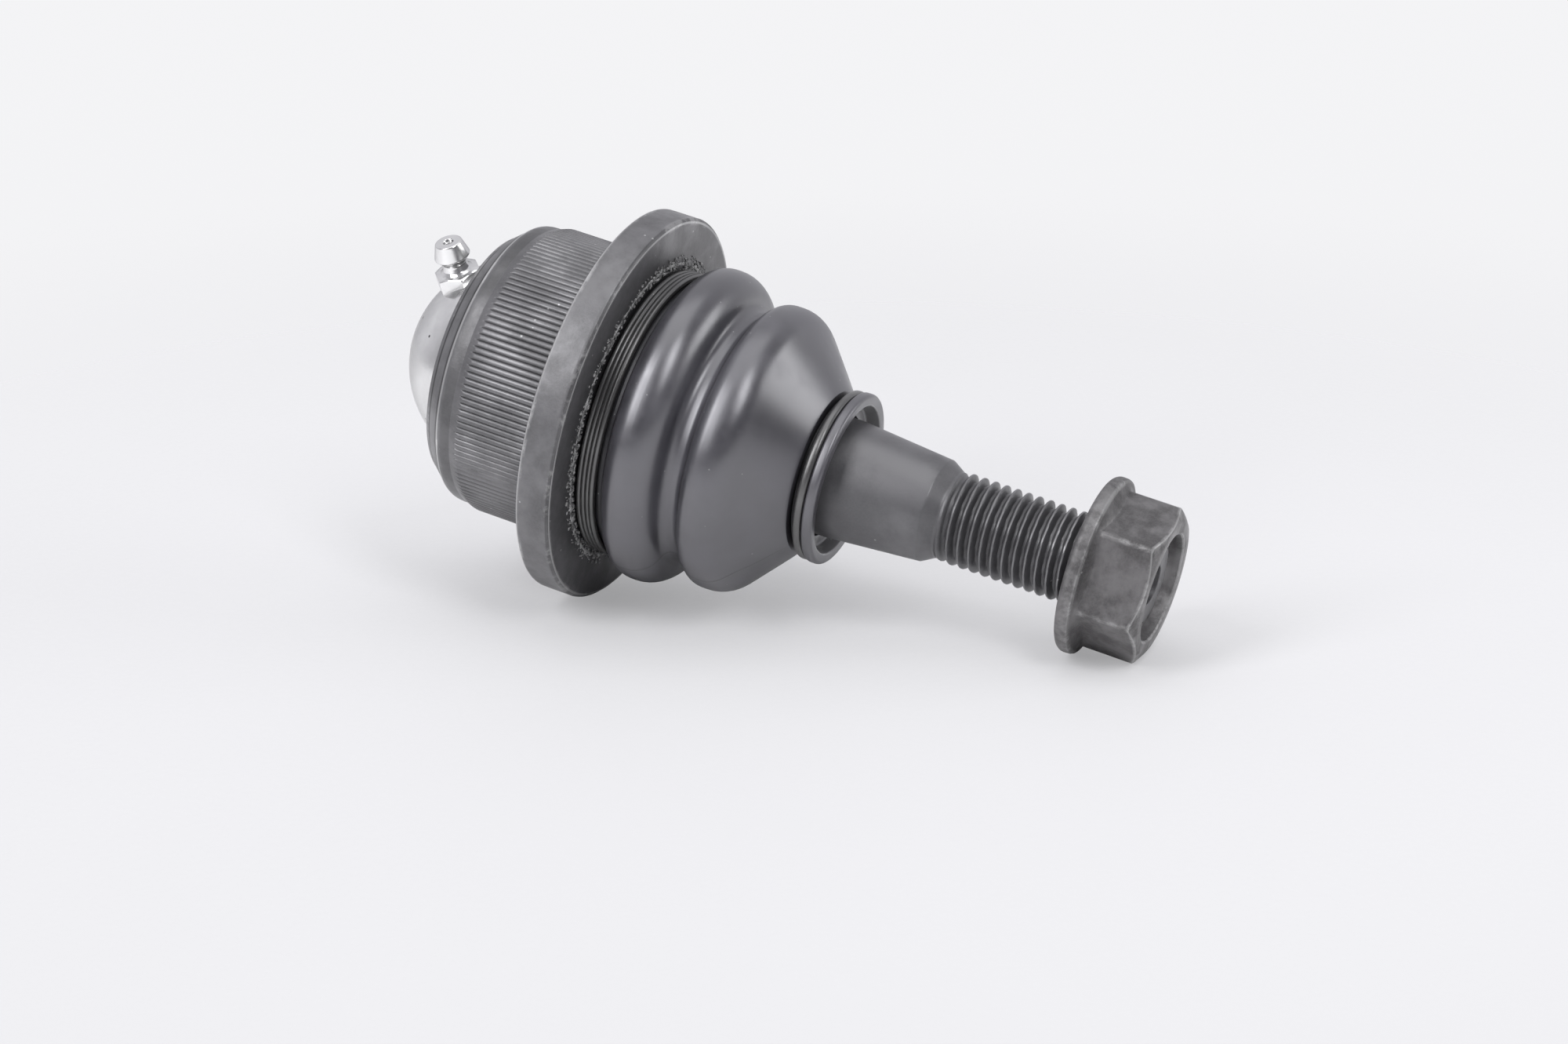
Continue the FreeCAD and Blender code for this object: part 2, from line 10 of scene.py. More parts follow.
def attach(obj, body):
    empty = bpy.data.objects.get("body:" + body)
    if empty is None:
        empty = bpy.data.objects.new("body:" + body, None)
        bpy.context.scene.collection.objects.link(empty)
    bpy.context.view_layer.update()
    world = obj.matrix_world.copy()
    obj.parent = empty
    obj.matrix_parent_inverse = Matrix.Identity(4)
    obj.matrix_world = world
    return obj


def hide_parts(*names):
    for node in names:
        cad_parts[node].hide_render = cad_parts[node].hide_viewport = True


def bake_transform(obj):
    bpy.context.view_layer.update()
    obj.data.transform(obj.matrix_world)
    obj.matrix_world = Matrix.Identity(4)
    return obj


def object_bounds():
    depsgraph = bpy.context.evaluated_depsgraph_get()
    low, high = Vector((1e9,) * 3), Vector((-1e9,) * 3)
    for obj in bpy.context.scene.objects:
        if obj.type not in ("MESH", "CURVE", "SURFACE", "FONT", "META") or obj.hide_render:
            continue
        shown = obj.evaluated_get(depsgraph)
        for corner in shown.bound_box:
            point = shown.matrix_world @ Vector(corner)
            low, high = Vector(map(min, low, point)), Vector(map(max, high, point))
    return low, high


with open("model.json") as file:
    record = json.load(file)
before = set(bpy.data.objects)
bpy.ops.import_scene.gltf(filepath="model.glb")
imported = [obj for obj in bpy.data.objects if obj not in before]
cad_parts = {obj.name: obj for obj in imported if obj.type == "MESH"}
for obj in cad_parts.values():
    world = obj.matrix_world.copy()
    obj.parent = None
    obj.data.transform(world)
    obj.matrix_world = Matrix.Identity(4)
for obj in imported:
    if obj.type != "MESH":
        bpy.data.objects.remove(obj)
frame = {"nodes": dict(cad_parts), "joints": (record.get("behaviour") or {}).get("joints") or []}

CAD_LOW, CAD_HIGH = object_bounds()

# Sizes of the ball joint in millimetres, drawn along the stud axis from the ball's centre.
# An angle goes round that axis, from the side facing the camera (0) over the top (90).
# A line is drawn in points (x, r, edge): along the axis, out from it, and how worn it is there.
# The corners of an outline are (x, r, radius of the round). Steps are points from a named place.

MM = 0.001
SAME = 1e-6
ANY_R = 99.0

# Housing

FLANGE_FRONT_X = 20.0
FLANGE_T = 6.2
FLANGE_REAR_X = FLANGE_FRONT_X - FLANGE_T
FLANGE_R = 34.5
FLANGE_REAR_EDGE = (
    (0.0, -0.9, 0.0), (0.0, -0.5, 0.2), (0.06, -0.3, 0.9), (0.24, -0.06, 1.0),
    (0.4, -0.01, 0.6), (0.9, 0.0, 0.0),
)
FLANGE_FRONT_EDGE = (
    (-1.0, 0.0, 0.0), (-0.6, 0.0, 0.2), (-0.44, -0.06, 0.3), (-0.08, -0.42, 0.3),
    (-0.02, -0.5, 1.0), (0.0, -0.72, 1.0), (0.0, -0.95, 0.25), (0.0, -1.3, 0.0),
)

TOOTH_COUNT = 144
TOOTH_SEGMENTS = 8
TOOTH_TIP_R = 26.0
TOOTH_DEPTH = 0.34
TOOTH_ROOT_LIFT = 0.02
TOOTH_FLANK = 0.7
TOOTH_RISE_X = -4.0
TOOTH_RUNOUT = 1.9
TOOTH_SHADE = 0.35

BAND_R = 25.35
BAND_REAR_X = -6.3
BAND_REAR_EDGE = (
    (-1.2, -1.09, 0.0), (-0.85, -0.89, 0.0), (-0.6, -0.63, 0.0), (-0.5, -0.43, 0.8),
    (-0.36, -0.31, 1.0), (-0.18, -0.22, 0.9), (0.1, -0.12, 0.0), (0.6, -0.03, 0.0),
    (1.2, 0.0, 0.0),
)
LIP_R = 22.55
LIP_BORE_R = 18.4
LIP_CORNER_X = -9.6
LIP_REAR_X = -10.3
LIP_SHOULDER = (
    (0.0, 0.0, 0.3), (0.2, 0.16, 0.0), (0.4, 0.33, 0.0), (0.6, 0.5, 0.0), (1.1, 0.91, 0.0),
)

HUB_FRONT_X = 25.0
HUB_R = 23.5
HUB_GROOVE_R = 22.9
HUB_GROOVE_LENGTH = 4.1
HUB_BORE_R = 20.9
THROAT_X = 12.0
THROAT_R = 15.1
RING_SEAT_R = 26.4

# Zones of the housing given painted shade, as from x, to x, from r, to r and depth of shade:
# the foot of the band's rear edge, the rolled lip's crease, its mouth, the flange's chamfer,
# the flange's face beside the boot's ring, and the smooth band.
HOUSING_SHADES = (
    (BAND_REAR_X - 1.0, BAND_REAR_X - 0.55, 0.0, ANY_R, 0.8),
    (LIP_CORNER_X + 0.1, LIP_CORNER_X + 0.5, 0.0, ANY_R, 0.8),
    (LIP_REAR_X - 1.0, LIP_REAR_X + 0.55, 0.0, LIP_BORE_R + 0.8, 0.7),
    (FLANGE_FRONT_X - 0.5, FLANGE_FRONT_X - 0.05, FLANGE_R - 1.0, ANY_R, 0.35),
    (FLANGE_FRONT_X - SAME, HUB_FRONT_X + 1.0, 0.0, RING_SEAT_R, 0.6),
    (BAND_REAR_X + 0.5, TOOTH_RISE_X - 0.03, 0.0, ANY_R, 0.28),
)

# Dried oil at the flange

RESIDUE_SEGMENTS = 720
RESIDUE_SIDES = 8
RESIDUE_BEAD_R = 0.18
RESIDUE_LUMP_R = 0.9
CRUMB_COUNT = 1600
CRUMB_DRAW = 11
CRUMB_SMALLEST_R = 0.09
CRUMB_GROWTH = 0.2
CRUMB_CROWDING = 0.8
CRUMB_INNER_R = 25.4
CRUMB_SPREAD = 2.6

# Cover plate

COVER_REAR_X = -8.9
COVER_FRONT_X = -5.95
COVER_RIM_R = 21.4
COVER_MOUTH_R = 17.9
DOME_R = 18.75
DOME_CENTRE_X = -4.8
DOME_WALL = 3.0
DOME_HOLLOW_ANGLE = 84

# Stud

BALL_R = 15.0
NECK_R = 8.5
NECK_END_X = 33.0
JOURNAL_R = 10.42
JOURNAL_START_X = 38.0
TAPER_START_X = 59.0
TAPER_END_X = 76.0
TAPER_END_R = 9.0
SHANK_WEAR = 0.4
THREAD_R = 7.9
THREAD_RELIEF_R = 7.6
THREAD_DEPTH = 1.18
THREAD_PITCH = 2.0
THREAD_START_X = 78.0
THREAD_RUNOUT = 2.6
THREAD_STEPS = 14
THREAD_CREST = 0.16
THREAD_FLANK = 0.62
THREAD_SHADE = 0.35
CREST_WEAR = 0.5
STUD_END_X = 115.2
STUD_CHAMFER_X = STUD_END_X - 0.5
STUD_CHAMFER_R = THREAD_R - 0.6
SOCKET_DEPTH = 2.2

# Dust boot

BOOT_END_X = 59.5
BOOT_BEAD_R = 24.6
BOOT_SEAT_R = 13.8
BOOT_LIP_R = 15.25
BOOT_BORE_R = 10.75
BOOT_RIM_BORE_R = 23.56
BOOT_SWELL = 0.11
BOOT_SWELL_SCALE = 0.045
BOOT_CUP_R = 13.4
BOOT_CUP_DEPTH = 2.65
PARTING_ANGLES = (-50.0, 130.0)
PARTING_DRIFT = 1.6
PARTING_WIDTH = 0.8
PARTING_HEIGHT = 0.04

# Rings

CLAMP_TURNS = 4
CLAMP_WIRE_R = 0.58
CLAMP_PITCH = 1.08
CLAMP_START_ANGLE = 300
NECK_RING_R = 15.1
NECK_RING_BORE_R = 13.85
NECK_RING_WIDTH = 1.65
RING_WEAR = 0.2

# Flange nut

NUT_BEARING_X = 103.5
NUT_END_X = 117.0
NUT_FLATS = 24.0
NUT_CORNER_R = NUT_FLATS / 2 / math.cos(math.radians(30)) - 0.3
NUT_END_R = 11.6
NUT_CHAMFER = math.tan(math.radians(30))
NUT_FLANGE_R = 15.4
NUT_TURN = 43.8
NUT_BORE_R = 7.95
NUT_MOUTH_R = 9.3
NUT_MOUTH_DEPTH = 2.3
NUT_DENT_DEPTH = 0.28
NUT_DENT_ANGLE = 24
NUT_CORNER_WEAR = 0.55
NUT_CORNER_ANGLE = 2.5
NUT_FLANGE_EDGE = (
    (2.1, -0.05, 0.2), (2.45, -0.2, 0.6), (2.6, -0.55, 0.5), (2.75, -0.95, 0.0),
)

# Springs inside

SEAT_REAR_X = -18.05
WASHER_REAR_X = -19.096
WASHER_R = 6.5
WASHER_BORE_R = 3.0
WASHER_T = 0.7
WASHER_ROUND = 0.08

# Grease fitting, drawn along its own axis from its seat on the dome

FITTING_BASE_X = -15.4
FITTING_BASE_R = 13.9
FITTING_LEAN = 73.5
FITTING_TURN = 21.5
FITTING_FLATS = 7.4
FITTING_HEX_TURN = 12.0
FITTING_HEX_HEIGHT = 3.5
FITTING_SHANK_R = 2.9
CHECK_SPRING_LOW_X = -3.07
CHECK_SPRING_HIGH_X = 6.22
CHECK_SPRING_R = 0.825
CHECK_SPRING_WIRE_R = 0.175
CHECK_SPRING_TURNS = 5

# Studio, in metres and linear colour

FLOOR_RINGS = (0.0, 0.15, 0.3, 0.5, 0.7)
FLOOR_SIDES = 64
FLOOR_CENTRE_X = 0.05
FLOOR_COLOURS = ((0.655, 0.655, 0.665, 1), (0.67, 0.67, 0.68, 1))
ROOM_FRONT_COLOUR = (0.13, 0.128, 0.142, 1)
ROOM_BACK_COLOUR = (0.8, 0.795, 0.835, 1)
ROOM_BACK = Vector((-0.45, 0.86, 0.25))
BACKDROP_LOW_COLOUR = (0.86, 0.86, 0.88, 1)
BACKDROP_HIGH_COLOUR = (0.905, 0.905, 0.92, 1)

LAMP_AIM = Vector((0.04, 0, 0))

# Name, size, watts, azimuth, elevation, distance from the aim and colour
LAMPS = (
    ("strip_left", (0.33, 0.68), 6.3, -27, 37, 0.95, (0.985, 0.98, 1.0)),
    ("strip_right", (0.24, 0.5), 3.6, 50, 46, 0.95, (0.99, 0.985, 1.0)),
    ("wall_right", (0.7, 0.45), 3.4, 112, 20, 1.1, (1, 1, 1)),
    ("ceiling", (0.8, 0.8), 2.8, 22, 88, 1.0, (1, 1, 1)),
)

CAMERA_LENS = 81.0
CAMERA_AZIMUTH = 22.6
CAMERA_ELEVATION = 17.0
CAMERA_PLACE = Vector((0.2697, -0.5367, 0.1562))

STUD_AXIS = Vector(next(j for j in frame["joints"] if j["name"] == "stud_spin")["axis"])
REST_TILT = math.atan2(-STUD_AXIS.z, STUD_AXIS.x)
LAY_DOWN = Matrix.Rotation(REST_TILT, 4, "Y") @ Matrix.Scale(MM, 4)


def round_axis(x, r, angle):
    """Drawn point at x along the axis, r out from it, angle in degrees."""
    turn = math.radians(angle)
    return Vector((x, -r * math.cos(turn), r * math.sin(turn)))


def clamp(value):
    """Value held between 0 and 1."""
    return min(1, max(0, value))


# Outlines and meshes


def steps_from(x, r, steps):
    """Points of a line given as steps from one place."""
    return [(x + ahead, r + out, edge) for ahead, out, edge in steps]


def arc(centre_x, radius, start, end, count):
    """Points of an arc about a centre on the axis. Its turns begin at the rear pole."""
    turns = [start + (end - start) * k / count for k in range(count + 1)]
    return [(centre_x - radius * math.cos(t), radius * math.sin(t), 0.0) for t in turns]


def outline(corners, support=0.35):
    """Points of a line with rounded corners. edge is 1 in the middle of small rounds.

    support is how far beyond a round an extra point keeps the straight part flat."""
    points = []
    last = len(corners) - 1
    for i, corner in enumerate(corners):
        x, r = corner[:2]
        fillet = corner[2] if len(corner) > 2 else 0
        if fillet == 0 or i in (0, last):
            points.append((x, r, 0.0))
            continue
        here = Vector((x, r))
        back = Vector(corners[i - 1][:2]) - here
        ahead = Vector(corners[i + 1][:2]) - here
        reach_back, reach_ahead = back.length, ahead.length
        back.normalize()
        ahead.normalize()
        half = back.angle(ahead) / 2
        reach = min(fillet / math.tan(half), reach_back * 0.98, reach_ahead * 0.98)
        fillet = reach * math.tan(half)
        centre = here + (back + ahead).normalized() * (fillet / math.sin(half))
        start, end = here + back * reach - centre, here + ahead * reach - centre
        steps = max(3, math.ceil((math.pi - 2 * half) / math.radians(9)))
        edge = 1.0 if fillet < 1.0 else 0.0
        if reach + support < reach_back * 0.5:
            points.append((*(here + back * (reach + support)), 0.0))
        for k in range(steps + 1):
            spot = centre + start.slerp(end, k / steps) * fillet
            points.append((*spot, edge * math.sin(math.pi * k / steps) ** 0.5))
        if reach + support < reach_ahead * 0.5:
            points.append((*(here + ahead * (reach + support)), 0.0))
    return points


def skin(name, loops, edges, closed=False, matrix=LAY_DOWN, painted_shades=None):
    """Mesh over loops of drawn points. A loop of one point is a pole.

    edges (wear) and grooves (painted shade) are masks, with a value per loop or per point."""
    bm = bmesh.new()
    masks = (bm.verts.layers.float.new("edge"), bm.verts.layers.float.new("painted_shade"))
    rings = []
    for loop, *values in zip(loops, edges, painted_shades or [0.0] * len(loops)):
        ring = []
        for k, point in enumerate(loop):
            vertex = bm.verts.new(matrix @ point)
            for mask, value in zip(masks, values):
                vertex[mask] = value[k] if isinstance(value, list) else value
            ring.append(vertex)
        rings.append(ring)
    pairs = list(zip(rings, rings[1:]))
    if closed:
        pairs.append((rings[-1], rings[0]))
    for one, two in pairs:
        count = max(len(one), len(two))
        for k in range(count):
            n = (k + 1) % count
            if len(one) == 1:
                bm.faces.new((one[0], two[n], two[k]))
            elif len(two) == 1:
                bm.faces.new((one[k], one[n], two[0]))
            else:
                bm.faces.new((one[k], one[n], two[n], two[k]))
    bmesh.ops.recalc_face_normals(bm, faces=bm.faces)
    mesh = bpy.data.meshes.new(name)
    bm.to_mesh(mesh)
    bm.free()
    mesh.shade_smooth()
    mesh.set_sharp_from_angle(angle=math.radians(32))
    return link(name, mesh)


def link(name, data):
    """New object in the scene."""
    thing = bpy.data.objects.new(name, data)
    bpy.context.scene.collection.objects.link(thing)
    return thing


def lathe(name, points, segments=192, closed=False, shift=None, matrix=LAY_DOWN):
    """Turned piece. x, r and edge of a point are numbers or functions of the angle.

    shift(x, r, edge, angle) may give a vertex another (x, r, edge, depth of painted shade)."""
    angles = [360 * k / segments for k in range(segments)]
    loops, edges, painted_shades = [], [], []
    for point in points:
        x, r, edge = point
        if not callable(r) and r < SAME:
            loops.append([Vector((x, 0, 0))])
            edges.append(edge)
            painted_shades.append(0.0)
            continue
        spots = []
        for angle in angles:
            spot = [value(angle) if callable(value) else value for value in point]
            spots.append(shift(*spot, angle) if shift else (*spot, 0.0))
        loops.append([round_axis(spot[0], spot[1], a) for spot, a in zip(spots, angles)])
        edges.append([spot[2] for spot in spots])
        painted_shades.append([spot[3] for spot in spots])
    return skin(name, loops, edges, closed, matrix, painted_shades)


def wind_wire(name, start_x, end_x, turns, coil_r, wire_r, per_turn, sides,
              start_angle=0, wear=0.0, thickness=None, matrix=LAY_DOWN):
    """Wire wound round the axis, with pointed ends. thickness(turns wound) scales its radius."""
    steps = per_turn * turns
    loops = [[round_axis(start_x, coil_r, start_angle)]]
    edges = [0.0]
    for k in range(steps + 1):
        share = k / steps
        angle = start_angle + 360 * turns * share
        x = start_x + (end_x - start_x) * share
        thick = wire_r * (thickness(turns * share) if thickness else 1.0)
        loop = []
        for j in range(sides):
            turn = 2 * math.pi * j / sides
            loop.append(round_axis(x + thick * math.sin(turn),
                                   coil_r + thick * math.cos(turn), angle))
        loops.append(loop)
        edges.append(wear * share)
    loops.append([round_axis(end_x, coil_r, start_angle + 360 * turns)])
    edges.append(0.0)
    return skin(name, loops, edges, matrix=matrix)


def place(piece, material, body, slot, *nodes):
    """Dress a piece, make it ride on its body and stand for its CAD nodes."""
    piece.data.materials.append(material)
    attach(piece, body)
    if nodes:
        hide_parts(*nodes)
    return piece


def noise_round(angle, scale, layer):
    """Smooth noise that closes on itself round the axis, about -1 to 1."""
    turn = math.radians(angle)
    return noise.noise(Vector((math.cos(turn) * scale, math.sin(turn) * scale, layer)))


# Shader building blocks


def new_group(name, inputs, outputs):
    """Empty node group with float sockets: inputs by name and value, outputs by name."""
    tree = bpy.data.node_groups.new(name, "ShaderNodeTree")
    for title, value in inputs.items():
        socket = tree.interface.new_socket(title, in_out="INPUT", socket_type="NodeSocketFloat")
        socket.default_value = value
    for title in outputs:
        tree.interface.new_socket(title, in_out="OUTPUT", socket_type="NodeSocketFloat")
    return tree, tree.nodes.new("NodeGroupInput"), tree.nodes.new("NodeGroupOutput")


def set_input(tree, socket, value):
    """Join a socket to a node's output, or set its value."""
    if isinstance(value, bpy.types.NodeSocket):
        tree.links.new(value, socket)
    else:
        socket.default_value = value


def add(tree, kind, settings=None, **inputs):
    """Node with settings, and inputs by name, or by number as i0, i1."""
    node = tree.nodes.new(kind)
    for key, value in (settings or {}).items():
        setattr(node, key, value)
    for key, value in inputs.items():
        numbered = key[0] == "i" and key[1:].isdigit()
        set_input(tree, node.inputs[int(key[1:]) if numbered else key.replace("_", " ")], value)
    return node


def math_node(tree, operation, a, b=0.0, clamped=False):
    settings = {"operation": operation, "use_clamp": clamped}
    return add(tree, "ShaderNodeMath", settings, i0=a, i1=b).outputs[0]


def vector_math(tree, operation, **inputs):
    node = add(tree, "ShaderNodeVectorMath", {"operation": operation}, **inputs)
    return node.outputs["Value"]


def smooth_range(tree, value, low, high, to_low=0.0, to_high=1.0):
    node = add(tree, "ShaderNodeMapRange", {"interpolation_type": "SMOOTHSTEP"}, Value=value,
               From_Min=low, From_Max=high, To_Min=to_low, To_Max=to_high)
    return node.outputs["Result"]


def mix_colour(tree, share, one, two):
    return add(tree, "ShaderNodeMix", {"data_type": "RGBA"}, i0=share, i6=one, i7=two).outputs[2]


def noise_socket(tree, coordinates, scale, detail=3.0, roughness=0.5):
    node = add(tree, "ShaderNodeTexNoise", None, Vector=coordinates, Scale=scale, Detail=detail,
               Roughness=roughness)
    return node.outputs["Fac"]


def object_spot(tree):
    return add(tree, "ShaderNodeTexCoord").outputs["Object"]


def vertex_mask(tree, name):
    return add(tree, "ShaderNodeAttribute", {"attribute_name": name}).outputs["Fac"]


def build_mottle():
    """Cloudy variation of a coating, 0 to 1, and its fine grain."""
    tree, given, out = new_group("coating_mottle", {"Cloud Scale": 120.0, "Grain Scale": 2500.0},
                                 ("Cloud", "Grain"))
    spot = object_spot(tree)
    cloud = noise_socket(tree, spot, given.outputs["Cloud Scale"], 5.0, 0.6)
    grain = noise_socket(tree, spot, given.outputs["Grain Scale"], 2.0, 0.6)
    tree.links.new(smooth_range(tree, cloud, 0.32, 0.7), out.inputs["Cloud"])
    tree.links.new(smooth_range(tree, grain, 0.25, 0.75), out.inputs["Grain"])
    return tree


def build_edge_wear():
    """Worn-through coating along edges, from the piece's own edge mask: chips and a rubbed line."""
    tree, given, out = new_group("edge_wear", {"Amount": 0.5, "Patch Scale": 500.0}, ("Mask",))
    spot = object_spot(tree)
    edge = vertex_mask(tree, "edge")
    patches = noise_socket(tree, spot, given.outputs["Patch Scale"], 4.0, 0.65)
    broad = noise_socket(tree, spot, 90.0, 2.0, 0.5)
    both = math_node(tree, "ADD", math_node(tree, "MULTIPLY", patches, 0.6),
                     math_node(tree, "MULTIPLY", broad, 0.6))
    more = math_node(tree, "MULTIPLY", given.outputs["Amount"], 0.5)
    level = math_node(tree, "ADD", both, more)
    chips = math_node(tree, "MULTIPLY", smooth_range(tree, level, 0.84, 0.98), edge)
    rubbed = math_node(tree, "MULTIPLY", smooth_range(tree, edge, 0.3, 0.9, 0.0, 1.1), broad)
    tree.links.new(math_node(tree, "MAXIMUM", chips, rubbed, True), out.inputs["Mask"])
    return tree


def build_specks():
    """Sparse pale specks of dust and tiny nicks: a few of the cells, and only their middles."""
    tree, given, out = new_group("dust_specks", {"Scale": 700.0, "Amount": 0.5}, ("Mask",))
    cells = add(tree, "ShaderNodeTexVoronoi", {"feature": "F1"}, Vector=object_spot(tree),
                Scale=given.outputs["Scale"])
    near = smooth_range(tree, cells.outputs["Distance"], 0.16, 0.08)
    pick = add(tree, "ShaderNodeSeparateColor", None, Color=cells.outputs["Color"])
    share = math_node(tree, "MULTIPLY", given.outputs["Amount"], 0.1)
    few = math_node(tree, "GREATER_THAN", pick.outputs[0], math_node(tree, "SUBTRACT", 1.0, share))
    tree.links.new(math_node(tree, "MULTIPLY", near, few, True), out.inputs["Mask"])
    return tree


MOTTLE = build_mottle()
EDGE_WEAR = build_edge_wear()
SPECKS = build_specks()
SHEEN_IOR = 1.8


def use(tree, group, **inputs):
    """Node of a shared group with this material's own values."""
    node = tree.nodes.new("ShaderNodeGroup")
    node.node_tree = group
    for key, value in inputs.items():
        node.inputs[key.replace("_", " ")].default_value = value
    return node


def new_material(name):
    material = bpy.data.materials.new(name)
    material.use_nodes = True
    tree = material.node_tree
    return material, tree, tree.nodes["Principled BSDF"]


def set_shader(tree, shader, **inputs):
    """Principled BSDF sockets by name, as plain values or joined."""
    for key, value in inputs.items():
        set_input(tree, shader.inputs[key.replace("_", " ")], value)


def bump_normal(tree, strength, distance, height):
    node = add(tree, "ShaderNodeBump", None, Strength=strength, Distance=distance, Height=height)
    return node.outputs["Normal"]


def grey(value, warm=0.0, cool=0.0):
    return (value * (1 + warm), value, value * (1 + cool), 1.0)


# Finishes


def coated_steel(name, dark, light, bare, roughness, metallic, wear, cloud_scale, grain_bump,
                 speck=0.5, patchy=0.0):
    """Dark conversion coating on steel, cloudy, grainy and worn bright along its edges."""
    material, tree, shader = new_material(name)
    mottle = use(tree, MOTTLE, Cloud_Scale=cloud_scale, Grain_Scale=2600.0)
    cloud, grain = mottle.outputs["Cloud"], mottle.outputs["Grain"]
    worn = use(tree, EDGE_WEAR, Amount=wear, Patch_Scale=520.0).outputs["Mask"]
    specks = use(tree, SPECKS, Scale=650.0, Amount=speck).outputs["Mask"]
    # Painted shade: the shade mask darkens the coat and dims its reflection in roots and creases.
    painted_shade = vertex_mask(tree, "painted_shade")
    marks = math_node(tree, "MAXIMUM", worn, math_node(tree, "MULTIPLY", specks, 0.6))

    coat = mix_colour(tree, cloud, dark, light)
    coat = mix_colour(tree, math_node(tree, "MULTIPLY", grain, 0.4), coat, light)
    coat = mix_colour(tree, painted_shade, coat, grey(0.012))
    sheen = smooth_range(tree, painted_shade, 0.0, 1.0, 0.75, 0.08)
    dulled = smooth_range(tree, cloud, 0.0, 1.0, 1.0 - patchy, 1.0)
    height = math_node(tree, "ADD", math_node(tree, "MULTIPLY", grain, grain_bump),
                       math_node(tree, "MULTIPLY", marks, -0.4))
    set_shader(
        tree, shader,
        Base_Color=mix_colour(tree, marks, coat, bare),
        IOR=SHEEN_IOR,
        Specular_IOR_Level=math_node(tree, "MULTIPLY", sheen, dulled),
        Roughness=smooth_range(tree, cloud, 0.0, 1.0, roughness + 0.05, roughness - 0.05),
        Metallic=smooth_range(tree, marks, 0.0, 1.0, metallic, 0.9),
        Normal=bump_normal(tree, 0.32, 0.00006, height),
    )
    return material


def rubber(name):
    """Satin moulded rubber with faint bloom, dust, a parting line and dust in the neck's cup."""
    material, tree, shader = new_material(name)
    mottle = use(tree, MOTTLE, Cloud_Scale=70.0, Grain_Scale=1800.0)
    cloud = mottle.outputs["Cloud"]
    specks = use(tree, SPECKS, Scale=900.0, Amount=0.5).outputs["Mask"]
    dusty = use(tree, EDGE_WEAR, Amount=0.75, Patch_Scale=900.0).outputs["Mask"]
    painted_shade = vertex_mask(tree, "painted_shade")
    marks = math_node(tree, "MAXIMUM", math_node(tree, "MULTIPLY", specks, 0.5), dusty)

    coat = mix_colour(tree, cloud, grey(0.02, 0.03, 0.2), grey(0.038, 0.03, 0.2))
    # Painted shade: the shade mask darkens the rubber to near black and dims its reflection.
    coat = mix_colour(tree, painted_shade, coat, grey(0.006))
    set_shader(
        tree, shader,
        Base_Color=mix_colour(tree, marks, coat, grey(0.3)),
        IOR=SHEEN_IOR,
        Specular_Tint=(0.965, 0.965, 1.0, 1.0),
        Specular_IOR_Level=smooth_range(tree, painted_shade, 0.0, 1.0, 0.75, 0.1),
        Roughness=smooth_range(tree, cloud, 0.0, 1.0, 0.3, 0.4),
        Normal=bump_normal(tree, 0.04, 0.00002, mottle.outputs["Grain"]),
    )
    return material


def bright_metal(name, dark, light, roughness, cloud_scale, bump=0.12, speck=0.4):
    """Bright zinc plate or bare steel with a faint cloudy spangle and a few dark pits."""
    material, tree, shader = new_material(name)
    mottle = use(tree, MOTTLE, Cloud_Scale=cloud_scale, Grain_Scale=1500.0)
    cloud, grain = mottle.outputs["Cloud"], mottle.outputs["Grain"]
    pits = use(tree, SPECKS, Scale=500.0, Amount=speck).outputs["Mask"]
    coat = mix_colour(tree, cloud, dark, light)
    set_shader(
        tree, shader,
        Base_Color=mix_colour(tree, pits, coat, grey(0.05)),
        Roughness=smooth_range(tree, grain, 0.0, 1.0, roughness, roughness + 0.04),
        Metallic=0.9,
        Specular_Tint=grey(0.6),
        Normal=bump_normal(tree, bump, 0.00005, cloud),
    )
    return material


def dry_residue(name):
    """Crumbly oil and dust, from nearly black to pale."""
    material, tree, shader = new_material(name)
    cloud = use(tree, MOTTLE, Cloud_Scale=900.0, Grain_Scale=4000.0).outputs["Cloud"]
    specks = use(tree, SPECKS, Scale=1500.0, Amount=5.0).outputs["Mask"]
    coat = mix_colour(tree, cloud, grey(0.05), grey(0.4))
    set_shader(
        tree, shader,
        Base_Color=mix_colour(tree, specks, coat, grey(0.55)),
        Roughness=0.55,
        Normal=bump_normal(tree, 0.8, 0.0002, cloud),
    )
    return material


def bearing_polymer(name):
    """Ivory moulded plastic of the hidden bearing pieces."""
    material, tree, shader = new_material(name)
    mottle = use(tree, MOTTLE, Cloud_Scale=150.0, Grain_Scale=1500.0)
    cloud, grain = mottle.outputs["Cloud"], mottle.outputs["Grain"]
    set_shader(
        tree, shader,
        Base_Color=mix_colour(tree, cloud, (0.62, 0.6, 0.52, 1), (0.74, 0.71, 0.62, 1)),
        Roughness=smooth_range(tree, grain, 0.0, 1.0, 0.38, 0.5),
        Normal=bump_normal(tree, 0.2, 0.00004, grain),
    )
    return material


HOUSING_FINISH = coated_steel(
    "dark_phosphate_forging", dark=grey(0.056, 0.01, 0.06), light=grey(0.104, 0.01, 0.06),
    bare=grey(0.55), roughness=0.42, metallic=0.35, wear=0.5, cloud_scale=110.0, grain_bump=0.5,
    speck=0.7, patchy=0.25)
STUD_FINISH = coated_steel(
    "dark_phosphate_stud", dark=grey(0.052, 0.01, 0.08), light=grey(0.08, 0.01, 0.08),
    bare=grey(0.4), roughness=0.44, metallic=0.35, wear=0.3, cloud_scale=90.0, grain_bump=0.3,
    speck=0.2, patchy=0.25)
NUT_FINISH = coated_steel(
    "mottled_phosphate_nut", dark=grey(0.034, 0.05, 0.03), light=grey(0.1, 0.04, 0.03),
    bare=grey(0.42), roughness=0.5, metallic=0.3, wear=0.6, cloud_scale=170.0, grain_bump=0.8,
    speck=0.3, patchy=0.5)
